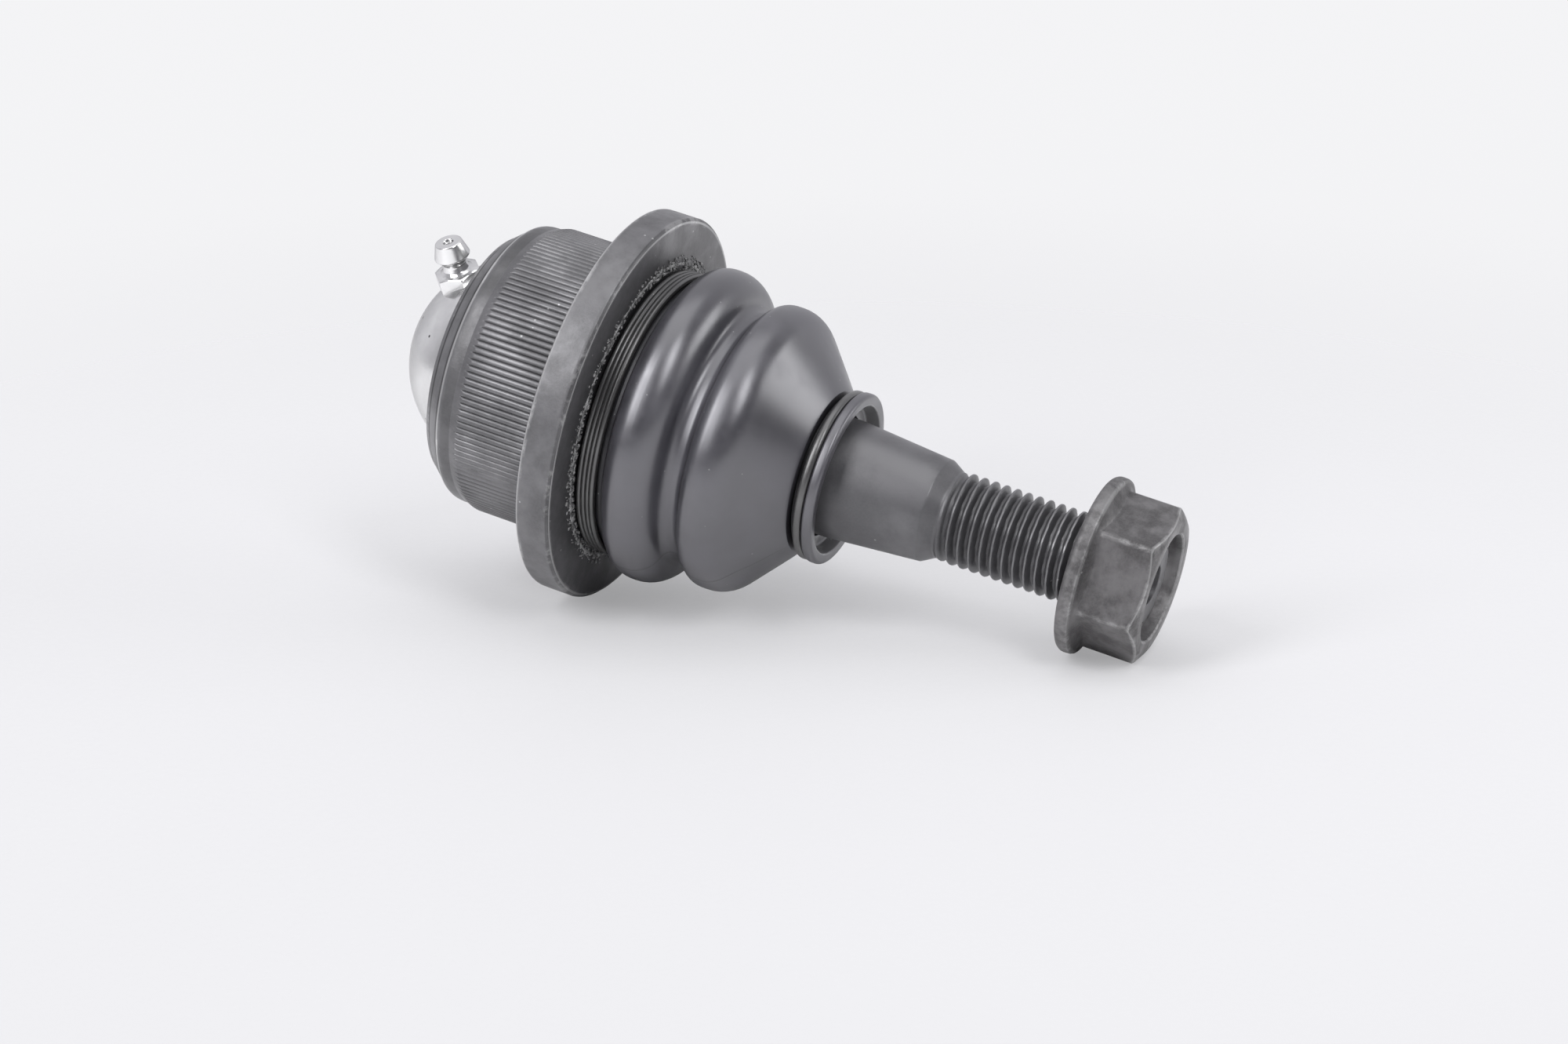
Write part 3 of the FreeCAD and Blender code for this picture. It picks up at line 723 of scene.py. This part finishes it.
RING_FINISH = coated_steel(
    "black_ring_coating", dark=grey(0.02), light=grey(0.04), bare=grey(0.3), roughness=0.34,
    metallic=0.2, wear=0.2, cloud_scale=200.0, grain_bump=0.4)
BOOT_FINISH = rubber("satin_boot_rubber")
COVER_FINISH = bright_metal("zinc_cover_plate", grey(0.64), grey(0.74), roughness=0.2,
                            cloud_scale=160.0, bump=0.02)
FITTING_FINISH = bright_metal("zinc_fitting_plate", grey(0.68), grey(0.76), roughness=0.16,
                              cloud_scale=200.0, bump=0.0, speck=0.0)
SPRING_FINISH = bright_metal("plain_spring_steel", grey(0.3), grey(0.45), roughness=0.3,
                             cloud_scale=300.0)
RESIDUE_FINISH = dry_residue("dry_oil_residue")
BEARING_FINISH = bearing_polymer("moulded_bearing_polymer")


# Housing


def tooth_shape(x, angle):
    """Radius of the toothed barrel and depth of painted shade, with run-outs towards the band."""
    away = abs((angle * TOOTH_COUNT / 360) % 1 - 0.5) * 2
    rise = clamp((away + TOOTH_ROOT_LIFT) / TOOTH_FLANK)
    tooth = TOOTH_TIP_R - TOOTH_DEPTH * (1 - math.sin(rise * math.pi / 2))
    land = BAND_R + (TOOTH_TIP_R - BAND_R) * clamp((x - TOOTH_RISE_X) / TOOTH_RUNOUT)
    radius = min(tooth, land)
    return radius, TOOTH_SHADE * clamp((land - radius) / TOOTH_DEPTH)


def housing_line():
    """Line of the housing, from the rolled lip's bore round the outside to the throat."""
    lip = outline([
        (COVER_REAR_X, LIP_BORE_R),
        (LIP_REAR_X + 0.5, LIP_BORE_R, 0.3),
        (LIP_REAR_X, LIP_BORE_R + 0.6, 0.3),
        (LIP_REAR_X, LIP_R - 0.5, 0.45),
        (LIP_CORNER_X, LIP_R),
    ])
    points = [(x, r, 0.0) for x, r, _ in lip[:-1]]
    points += steps_from(LIP_CORNER_X, LIP_R, LIP_SHOULDER)
    points += steps_from(BAND_REAR_X, BAND_R, BAND_REAR_EDGE)
    points.append((TOOTH_RISE_X - 0.05, BAND_R, 0.0))
    runout = [TOOTH_RISE_X + TOOTH_RUNOUT * k / 8 for k in range(9)]
    for x in (*runout, FLANGE_REAR_X - 4, FLANGE_REAR_X - 0.3, FLANGE_REAR_X):
        points.append((x, TOOTH_TIP_R, 0.0))
    points.append((FLANGE_REAR_X, TOOTH_TIP_R + 0.05, 0.0))
    points += steps_from(FLANGE_REAR_X, FLANGE_R, FLANGE_REAR_EDGE)
    points += steps_from(FLANGE_FRONT_X, FLANGE_R, FLANGE_FRONT_EDGE)
    points += outline([
        (FLANGE_FRONT_X, FLANGE_R - 1.6),
        (FLANGE_FRONT_X, HUB_GROOVE_R, 0.2),
        (FLANGE_FRONT_X + HUB_GROOVE_LENGTH, HUB_GROOVE_R),
        (FLANGE_FRONT_X + HUB_GROOVE_LENGTH, HUB_R),
        (HUB_FRONT_X, HUB_R, 0.3),
        (HUB_FRONT_X, HUB_BORE_R),
        (THROAT_X, THROAT_R),
    ])
    return points


def make_housing():
    def toothed(x, r, edge, angle):
        on_barrel = TOOTH_RISE_X - 0.001 <= x <= FLANGE_REAR_X + 0.001
        if on_barrel and abs(r - TOOTH_TIP_R) < SAME:
            radius, shade = tooth_shape(x, angle)
            return x, radius, edge, shade
        shade = 0.0
        for low_x, high_x, low_r, high_r, depth in HOUSING_SHADES:
            if low_x < x < high_x and low_r < r < high_r:
                shade = depth
        return x, r, edge, shade

    piece = lathe("housing_forging", housing_line(), segments=TOOTH_COUNT * TOOTH_SEGMENTS,
                  shift=toothed)
    return place(piece, HOUSING_FINISH, "housing", "phosphate_steel", "housing")


def scatter_crumbs(mesh):
    """Loose crumbs on the flange's face, thickest near the ring and in some places round it."""
    lump = bmesh.new()
    bmesh.ops.create_icosphere(lump, subdivisions=1, radius=1.0)
    lump.verts.index_update()
    corners = [corner.co.copy() for corner in lump.verts]
    sides = [[corner.index for corner in side.verts] for side in lump.faces]
    lump.free()
    draw = random.Random(CRUMB_DRAW)
    bm = bmesh.new()
    bm.from_mesh(mesh)
    left = CRUMB_COUNT
    while left:
        angle = draw.uniform(0, 360)
        out = draw.random() ** 2
        size = CRUMB_SMALLEST_R + CRUMB_GROWTH * draw.random() ** 2
        if draw.random() > CRUMB_CROWDING + noise_round(angle, 3, 9.0):
            continue
        spot = round_axis(FLANGE_FRONT_X + size * 0.4, CRUMB_INNER_R + CRUMB_SPREAD * out, angle)
        shape = Matrix.Diagonal((0.8, draw.uniform(0.7, 1.7), draw.uniform(0.7, 1.7), 1.0))
        to_place = LAY_DOWN @ Matrix.Translation(spot) @ shape @ Matrix.Scale(size, 4)
        crumb = [bm.verts.new(to_place @ corner) for corner in corners]
        for side in sides:
            bm.faces.new([crumb[k] for k in side])
        left -= 1
    bm.to_mesh(mesh)
    bm.free()


def make_flange_residue():
    """Rough bead and crumbs of dried oil and coating where the ring meets the flange."""
    loops, edges = [], []
    for k in range(RESIDUE_SEGMENTS):
        angle = 360 * k / RESIDUE_SEGMENTS
        lump = 0.5 + 0.5 * noise_round(angle, 40, 3.0)
        size = RESIDUE_BEAD_R + RESIDUE_LUMP_R * lump ** 3
        middle_r = RING_SEAT_R + 0.5 * (lump - 0.5)
        loop = []
        for j in range(RESIDUE_SIDES):
            turn = 2 * math.pi * j / RESIDUE_SIDES
            x = FLANGE_FRONT_X + 0.02 + size * 0.6 * math.sin(turn)
            loop.append(round_axis(x, middle_r + size * math.cos(turn), angle))
        loops.append(loop)
        edges.append(lump)
    piece = skin("flange_residue", loops, edges, closed=True)
    scatter_crumbs(piece.data)
    return place(piece, RESIDUE_FINISH, "housing", "phosphate_steel")


# Cover plate


def make_cover():
    dome = arc(DOME_CENTRE_X, DOME_R, 0.0, math.acos((DOME_CENTRE_X - COVER_REAR_X) / DOME_R), 40)
    rim = outline([
        dome[-1][:2],
        (COVER_REAR_X + 0.05, COVER_RIM_R, 0.2),
        (COVER_FRONT_X, COVER_RIM_R, 0.2),
        (COVER_FRONT_X, COVER_MOUTH_R),
    ])
    hollow = arc(DOME_CENTRE_X, DOME_R - DOME_WALL, math.radians(DOME_HOLLOW_ANGLE), 0.0, 16)
    piece = lathe("cover_dome", dome + rim[1:] + hollow, segments=160)
    return place(piece, COVER_FINISH, "housing", "zinc_plate", "cover_plate")


# Stud


def thread_cut(x, angle):
    """How far the thread's cut goes in at a point, with a run-out at its start."""
    away = abs((x / THREAD_PITCH + angle / 360) % 1 - 0.5) * 2
    cut = clamp((away - THREAD_CREST) / THREAD_FLANK)
    cut = cut * cut * (3 - 2 * cut) * 0.35 + cut * 0.65
    return THREAD_DEPTH * cut * clamp((x - THREAD_START_X) / THREAD_RUNOUT)


def make_stud():
    neck_x = math.sqrt(BALL_R ** 2 - NECK_R ** 2)
    relief_x = TAPER_END_X + 2.7
    ball = arc(0.0, BALL_R, 0.0, math.atan2(NECK_R, -neck_x), 32)
    shank = outline([
        (neck_x + 0.1, NECK_R),
        (NECK_END_X, NECK_R, 3.0),
        (JOURNAL_START_X, JOURNAL_R, 3.0),
        (TAPER_START_X, JOURNAL_R),
        (TAPER_END_X, TAPER_END_R, 0.35),
        (relief_x - 0.3, THREAD_RELIEF_R, 0.9),
        (relief_x, THREAD_RELIEF_R),
    ])
    shank = [(x, r, SHANK_WEAR * edge) for x, r, edge in shank]
    thread = []
    x = relief_x + 0.1
    while x < STUD_END_X - 0.8:
        thread.append((x, THREAD_R, 0.0))
        x += THREAD_PITCH / THREAD_STEPS
    tip = [
        (STUD_CHAMFER_X, STUD_CHAMFER_R, 0.0),
        (STUD_END_X, STUD_CHAMFER_R - 0.6, 0.3),
        (STUD_END_X, 3.6, 0.0),
        (STUD_END_X - 0.1, 3.45, 0.0),
        (STUD_END_X - 2.0, 3.2, 0.0),
        (STUD_END_X - SOCKET_DEPTH, 2.9, 0.0),
        (STUD_END_X - SOCKET_DEPTH, 0.0, 0.0),
    ]

    def threaded(x, r, edge, angle):
        if abs(r - THREAD_R) > SAME:
            return x, r, edge, 0.0
        rise = clamp((x - relief_x) / 1.2)
        crest_r = THREAD_RELIEF_R + (THREAD_R - THREAD_RELIEF_R) * rise
        cut = thread_cut(x, angle)
        rubbed = CREST_WEAR * rise * max(0.0, 1 - cut / 0.1)
        chamfer_r = STUD_CHAMFER_R - (x - STUD_CHAMFER_X)
        # The last value is painted shade, deepest at the thread's root.
        return x, min(crest_r - cut, chamfer_r), rubbed, THREAD_SHADE * cut / THREAD_DEPTH

    piece = lathe("threaded_stud", ball + shank + thread + tip, segments=160, shift=threaded)
    return place(piece, STUD_FINISH, "stud", "stud_steel", "ball_stud")


# Dust boot


def boot_line():
    """Closed line of the boot: bead, two folds, cone, neck with the ring's sunken seat, inner side.
    """
    x, end = FLANGE_FRONT_X, BOOT_END_X
    return outline([
        (x + 0.3, 23.2),
        (x + 0.3, BOOT_BEAD_R, 0.3),
        (x + 5.2, BOOT_BEAD_R, 0.4),
        (x + 5.8, 28.2, 3.7),
        (x + 13.4, 28.2, 5.2),
        (x + 15.2, 22.5, 1.9),
        (x + 18.2, 22.5, 1.5),
        (x + 19.4, 25.5, 2.9),
        (x + 25.0, 25.5, 6.0),
        (end - 4.75, BOOT_SEAT_R + 0.7, 0.35),
        (end - 4.5, BOOT_SEAT_R - 0.6, 0.2),
        (end - 3.9, BOOT_SEAT_R - 0.6, 0.2),
        (end - 3.75, BOOT_SEAT_R, 0.1),
        (end - 1.9, BOOT_SEAT_R, 0.2),
        (end - 1.9, BOOT_LIP_R, 0.5),
        (end, BOOT_LIP_R, 0.7),
        (end, BOOT_LIP_R - 2.0, 0.4),
        (end - 2.6, BOOT_LIP_R - 2.6, 0.5),
        (end - 2.6, BOOT_BORE_R, 0.3),
        (end - 10.2, BOOT_BORE_R, 1.0),
        (x + 24.2, 23.7, 4.0),
        (x + 20.6, 23.7, 1.2),
        (x + 19.4, 20.7, 2.5),
        (x + 14.0, 20.7, 2.5),
        (x + 12.0, 26.4, 3.4),
        (x + 7.3, 26.4, 1.9),
        (x + 6.6, BOOT_RIM_BORE_R, 0.2),
        (x + 4.2, BOOT_RIM_BORE_R),
    ], support=0.6)


def make_boot():
    line = boot_line()
    dense = []
    for (x0, r0, _), (x1, r1, _) in zip(line, line[1:]):
        pieces = max(1, int(math.hypot(x1 - x0, r1 - r0)))
        for k in range(pieces):
            share = k / pieces
            dense.append((x0 + (x1 - x0) * share, r0 + (r1 - r0) * share, 0.0))
    dense.append((*line[-1][:2], 0.0))
    bead_x, neck_x = FLANGE_FRONT_X + 6, BOOT_END_X - 6

    def moulded(x, r, edge, angle):
        swell = 0.0
        if bead_x <= x <= neck_x:
            swell = BOOT_SWELL * noise.noise(round_axis(x, r, angle) * BOOT_SWELL_SCALE)
        drift = PARTING_DRIFT * noise.noise(Vector((x * 0.22, 3.7, 1.1)))
        seam = 0.0
        if bead_x <= x <= BOOT_END_X - 5.2 and r >= 13.5:
            for parting in PARTING_ANGLES:
                away = abs((angle - parting - drift + 180) % 360 - 180)
                seam = max(seam, 1 - away / PARTING_WIDTH)
        dust = 0.9 if x > BOOT_END_X - BOOT_CUP_DEPTH and r < BOOT_CUP_R else 0.0
        # Painted shade: darker at the bead beside the flange, darkest in the narrow channel before
        # the neck ring; the parting line is drawn darker through the same mask.
        shade = 0.7 if x < FLANGE_FRONT_X + 5.6 and r < 26.5 else 0.0
        if BOOT_END_X - 4.6 < x < BOOT_END_X - 3.7:
            shade = 0.9
        return x, r + swell + PARTING_HEIGHT * seam, dust, max(shade, 0.6 * seam)

    piece = lathe("dust_boot_moulding", dense, segments=480, closed=True, shift=moulded)
    piece.data.materials.append(BOOT_FINISH)
    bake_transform(piece)
    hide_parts("dust_boot")
    return piece


# Rings


def make_clamp_ring():
    """Wire wound in close turns round the boot's bead, thicker in its last ones."""
    start_x = FLANGE_FRONT_X + 0.35 + CLAMP_WIRE_R
    piece = wind_wire(
        "boot_clamp_winding", start_x, start_x + CLAMP_PITCH * (CLAMP_TURNS - 1), CLAMP_TURNS,
        BOOT_BEAD_R + 0.05 + CLAMP_WIRE_R, CLAMP_WIRE_R, per_turn=180, sides=14,
        start_angle=CLAMP_START_ANGLE, wear=0.25,
        thickness=lambda wound: 0.76 + 0.24 * clamp((wound - 2.6) * 2))
    return place(piece, RING_FINISH, "housing", "black_wire", "boot_clamp_ring")


def make_neck_ring():
    front_x = BOOT_END_X - 2.0
    rear_x = front_x - NECK_RING_WIDTH
    points = outline([
        (front_x - 0.8, NECK_RING_BORE_R),
        (rear_x, NECK_RING_BORE_R, 0.2),
        (rear_x, NECK_RING_R, 0.7),
        (front_x, NECK_RING_R, 0.7),
        (front_x, NECK_RING_BORE_R, 0.2),
        (front_x - 0.85, NECK_RING_BORE_R),
    ])
    points = [(x, r, RING_WEAR * edge) for x, r, edge in points]
    piece = lathe("boot_neck_band", points, segments=160, closed=True)
    return place(piece, RING_FINISH, "boot_neck", "black_wire", "boot_neck_ring")


# Flange nut


def from_corner(angle, turn):
    """Degrees to the nearest corner of a hexagon, turned so that one corner is at turn."""
    return abs((angle - turn + 30) % 60 - 30)


def hex_radius(angle, flats, turn):
    """Distance from the axis to the side of a hexagon at an angle."""
    return flats / 2 / math.cos(math.radians(30 - from_corner(angle, turn)))


def make_nut():
    def hexagon(angle):
        blunt = NUT_CORNER_R + from_corner(angle, NUT_TURN) * 0.02
        return min(hex_radius(angle, NUT_FLATS, NUT_TURN), blunt)

    def side(out=0.0):
        return lambda angle: hexagon(angle) + out

    def foot(ahead, out=0.0):
        """x where the hexagon, grown by out, stands on the flange's sloping top."""
        top_x = NUT_BEARING_X + 2.75
        return lambda angle: top_x + (NUT_FLANGE_R - 0.95 - hexagon(angle) - out) * 0.5 + ahead

    def shoulder(ahead):
        """x of the chamfer's scalloped edge."""
        return lambda angle: NUT_END_X - (hexagon(angle) - NUT_END_R) * NUT_CHAMFER + ahead

    def mouth(out=0.0):
        """Radius of the mouth, with its three locking dents."""
        def radius(angle):
            away = abs((angle - NUT_TURN - 30 + 60) % 120 - 60)
            dent = NUT_DENT_DEPTH * max(0, 1 - (away / NUT_DENT_ANGLE) ** 2)
            return NUT_MOUTH_R + dent + out
        return radius

    def corner_wear(angle):
        return NUT_CORNER_WEAR * max(0.0, 1 - from_corner(angle, NUT_TURN) / NUT_CORNER_ANGLE)

    rows = [
        (NUT_END_X - NUT_MOUTH_DEPTH, NUT_BORE_R, 0.0),
        (NUT_BEARING_X + 0.9, NUT_BORE_R, 0.0),
        (NUT_BEARING_X, NUT_BORE_R + 0.9, 0.2),
        (NUT_BEARING_X, NUT_FLANGE_R - 1.3, 0.0),
    ]
    for k in range(9):
        turn = math.pi / 2 * k / 8
        rows.append((NUT_BEARING_X + 1.2 - 1.2 * math.cos(turn),
                     NUT_FLANGE_R - 1.1 + 1.1 * math.sin(turn), 0.15 * k / 8))
    rows += steps_from(NUT_BEARING_X, NUT_FLANGE_R, NUT_FLANGE_EDGE)
    rows += [
        (foot(0.0, 0.35), side(0.35), 0.0),
        (foot(0.1), side(0.08), 0.0),
        (foot(0.45), side(), corner_wear),
        (shoulder(-0.5), side(), corner_wear),
        (shoulder(-0.14), side(-0.005), 0.6),
        (shoulder(0.03), side(-0.1), 0.9),
        (shoulder(0.16), side(-0.3), 0.3),
        (NUT_END_X - 0.1, NUT_END_R + 0.15, 0.1),
        (NUT_END_X, NUT_END_R - 0.15, 0.2),
        (NUT_END_X, mouth(0.55), 0.0),
        (NUT_END_X - 0.1, mouth(0.2), 0.6),
        (NUT_END_X - 0.35, mouth(), 0.4),
        (NUT_END_X - 1.5, mouth(-0.1), 0.0),
        (NUT_END_X - NUT_MOUTH_DEPTH, NUT_MOUTH_R - 0.3, 0.0),
        (NUT_END_X - NUT_MOUTH_DEPTH, NUT_BORE_R + 0.3, 0.0),
    ]
    piece = lathe("hexagon_flange_nut", rows, segments=360, closed=True)
    return place(piece, NUT_FINISH, "stud", "nut_steel", "flange_nut")


# Grease fitting


def fitting_matrix():
    """Where a piece drawn along x, from the fitting's seat, stands on the dome."""
    lean = math.radians(FITTING_LEAN)
    turn = math.radians(FITTING_TURN)
    out = Vector((0.0, -math.sin(turn), math.cos(turn)))
    ahead = Vector((-math.cos(lean), 0.0, 0.0)) + out * math.sin(lean)
    base = Vector((FITTING_BASE_X, 0.0, 0.0)) + out * FITTING_BASE_R
    return LAY_DOWN @ Matrix.Translation(base) @ ahead.to_track_quat("X", "Z").to_matrix().to_4x4()


def make_fitting():
    def side(cut=0.0):
        return lambda angle: hex_radius(angle, FITTING_FLATS, FITTING_HEX_TURN) - cut

    def top(cut, below=0.0):
        """x of the hexagon's top, sloping down to its corners."""
        def height(angle):
            corner = max(0.0, side(cut)(angle) - FITTING_FLATS / 2 + 0.25)
            return FITTING_HEX_HEIGHT - corner * 0.55 - below
        return height

    shank = outline([(-3.4, 0.0), (-3.4, FITTING_SHANK_R, 0.3), (0.0, FITTING_SHANK_R), (0.0, 3.5)])
    hexagon = [
        (0.0, FITTING_FLATS / 2 - 0.1, 0.0),
        (0.35, side(), 0.0),
        (0.5, side(), 0.0),
        (FITTING_HEX_HEIGHT - 0.95, side(), 0.0),
        (top(0.0, 0.05), side(), 0.0),
        (top(0.12), side(0.12), 0.0),
        (top(0.6), side(0.6), 0.0),
    ]
    head = outline([
        (FITTING_HEX_HEIGHT, 2.9), (3.9, 2.4, 0.3), (5.0, 1.95, 0.6), (6.35, 3.2, 0.3),
        (9.1, 2.35, 0.3), (9.1, 0.95, 0.12), (8.6, 0.75), (8.3, 0.0),
    ], support=0.15)
    piece = lathe("straight_grease_fitting", shank + hexagon + head, segments=120,
                  matrix=fitting_matrix())
    return place(piece, FITTING_FINISH, "housing", "bright_zinc", "grease_fitting")


# Springs inside the joint


def make_preload_washer():
    """Disc spring between the pressure seat and the dome."""
    points = outline([
        (SEAT_REAR_X - WASHER_T / 2, WASHER_BORE_R),
        (SEAT_REAR_X, WASHER_BORE_R, WASHER_ROUND),
        (WASHER_REAR_X + WASHER_T, WASHER_R, WASHER_ROUND),
        (WASHER_REAR_X, WASHER_R, WASHER_ROUND),
        (SEAT_REAR_X - WASHER_T, WASHER_BORE_R, WASHER_ROUND),
        (SEAT_REAR_X - WASHER_T * 0.6, WASHER_BORE_R),
    ])
    points = [(x, r, 0.0) for x, r, _ in points]
    piece = lathe("preload_disc_spring", points, segments=96, closed=True)
    piece.data.materials.append(SPRING_FINISH)
    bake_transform(piece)
    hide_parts("preload_spring")
    return piece


def make_check_spring():
    """Coil spring in the fitting's bore, under its check ball."""
    matrix = fitting_matrix()
    piece = wind_wire(
        "check_ball_coil_spring", CHECK_SPRING_LOW_X, CHECK_SPRING_HIGH_X, CHECK_SPRING_TURNS,
        CHECK_SPRING_R, CHECK_SPRING_WIRE_R, per_turn=24, sides=8, matrix=matrix)
    piece.data.materials.append(SPRING_FINISH)
    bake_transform(piece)
    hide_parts("grease_check_spring")
    return piece


def dress_hidden_pieces():
    """Finishes for the pieces that stay as their own solids inside the joint."""
    finishes = {
        "front_bearing": BEARING_FINISH,
        "pressure_seat": BEARING_FINISH,
        "grease_check_ball": SPRING_FINISH,
    }
    for node, finish in finishes.items():
        piece = frame["nodes"][node]
        piece.data.materials.clear()
        piece.data.materials.append(finish)


# Stage


def paper_material(name):
    """Pale paper with a little painted shade towards the camera. It fades out away from the part.
    """
    material, tree, shader = new_material(name)
    mottle = use(tree, MOTTLE, Cloud_Scale=5.0, Grain_Scale=700.0)
    spot = object_spot(tree)
    seen = add(tree, "ShaderNodeLightPath").outputs["Is Camera Ray"]
    depth = add(tree, "ShaderNodeSeparateXYZ", None, Vector=spot).outputs["Y"]
    # Painted shade: the paper darkens towards the camera.
    near = smooth_range(tree, depth, -0.3, 0.15, 0.42, 0.0)
    colour = mix_colour(tree, mottle.outputs["Cloud"], *FLOOR_COLOURS)
    colour = mix_colour(tree, near, colour, grey(0.38))
    away = vector_math(tree, "LENGTH", i0=spot)
    faded = smooth_range(tree, away, 0.09, 0.38, 0.64, 0.0)
    set_shader(
        tree, shader,
        Base_Color=mix_colour(tree, seen, grey(0.88), colour),
        Roughness=smooth_range(tree, mottle.outputs["Grain"], 0.0, 1.0, 0.55, 0.65),
        Alpha=math_node(tree, "MAXIMUM", faded, math_node(tree, "SUBTRACT", 1.0, seen)),
    )
    return material


def make_stage():
    """Pale round floor that takes the shadow near the part."""
    bm = bmesh.new()
    rings = []
    for radius in FLOOR_RINGS:
        count = FLOOR_SIDES if radius else 1
        turns = [2 * math.pi * k / count for k in range(count)]
        rings.append([bm.verts.new((radius * math.cos(t), radius * math.sin(t), 0.0))
                      for t in turns])
    for inner, outer in zip(rings, rings[1:]):
        for k in range(FLOOR_SIDES):
            n = (k + 1) % FLOOR_SIDES
            if len(inner) == 1:
                bm.faces.new((inner[0], outer[k], outer[n]))
            else:
                bm.faces.new((inner[k], outer[k], outer[n], inner[n]))
    mesh = bpy.data.meshes.new("studio_floor")
    bm.to_mesh(mesh)
    bm.free()
    floor = link("studio_floor", mesh)
    floor.location = (FLOOR_CENTRE_X, 0.0, CAD_LOW.z)
    floor.data.materials.append(paper_material("pale_paper"))


def towards(azimuth, elevation):
    """Direction from the part to a lamp or camera, angles in degrees."""
    a, e = math.radians(azimuth), math.radians(elevation)
    return Vector((math.sin(a) * math.cos(e), -math.cos(a) * math.cos(e), math.sin(e)))


def stand(thing, spot, direction):
    """Stand a lamp or camera at a spot, looking against the direction."""
    thing.location = spot
    thing.rotation_mode = "QUATERNION"
    thing.rotation_quaternion = (-direction).to_track_quat("-Z", "Y")


def make_lights():
    for name, size, watts, azimuth, elevation, distance, colour in LAMPS:
        data = bpy.data.lights.new(name, "AREA")
        data.shape = "RECTANGLE"
        data.size, data.size_y = size
        data.energy = watts
        data.color = colour
        direction = towards(azimuth, elevation)
        stand(link(name, data), LAMP_AIM + direction * distance, direction)


def make_room():
    """Dim room in front, pale room behind, and the backdrop that the camera sees."""
    world = bpy.data.worlds.new("studio_air")
    world.use_nodes = True
    tree = world.node_tree
    way = add(tree, "ShaderNodeTexCoord").outputs["Generated"]
    rear = vector_math(tree, "DOT_PRODUCT", i0=way, i1=ROOM_BACK)
    height = add(tree, "ShaderNodeSeparateXYZ", None, Vector=way).outputs["Z"]
    seen = add(tree, "ShaderNodeLightPath").outputs["Is Camera Ray"]
    room = mix_colour(tree, smooth_range(tree, rear, -0.35, 0.75),
                      ROOM_FRONT_COLOUR, ROOM_BACK_COLOUR)
    backdrop = mix_colour(tree, smooth_range(tree, height, -0.5, -0.1),
                          BACKDROP_LOW_COLOUR, BACKDROP_HIGH_COLOUR)
    colour = mix_colour(tree, seen, room, backdrop)
    tree.links.new(colour, tree.nodes["Background"].inputs["Color"])
    bpy.context.scene.world = world


def make_camera():
    data = bpy.data.cameras.new("photo_camera")
    data.lens = CAMERA_LENS
    data.sensor_width = 36.0
    data.clip_start = 0.01
    data.clip_end = 20.0
    camera = link("photo_camera", data)
    stand(camera, CAMERA_PLACE, towards(CAMERA_AZIMUTH, CAMERA_ELEVATION))
    bpy.context.scene.camera = camera


make_housing()
make_flange_residue()
make_cover()
make_stud()
make_boot()
make_clamp_ring()
make_neck_ring()
make_nut()
make_fitting()
make_preload_washer()
make_check_spring()
dress_hidden_pieces()
make_stage()
make_lights()
make_room()
make_camera()

bpy.context.scene.view_settings.view_transform = "Standard"
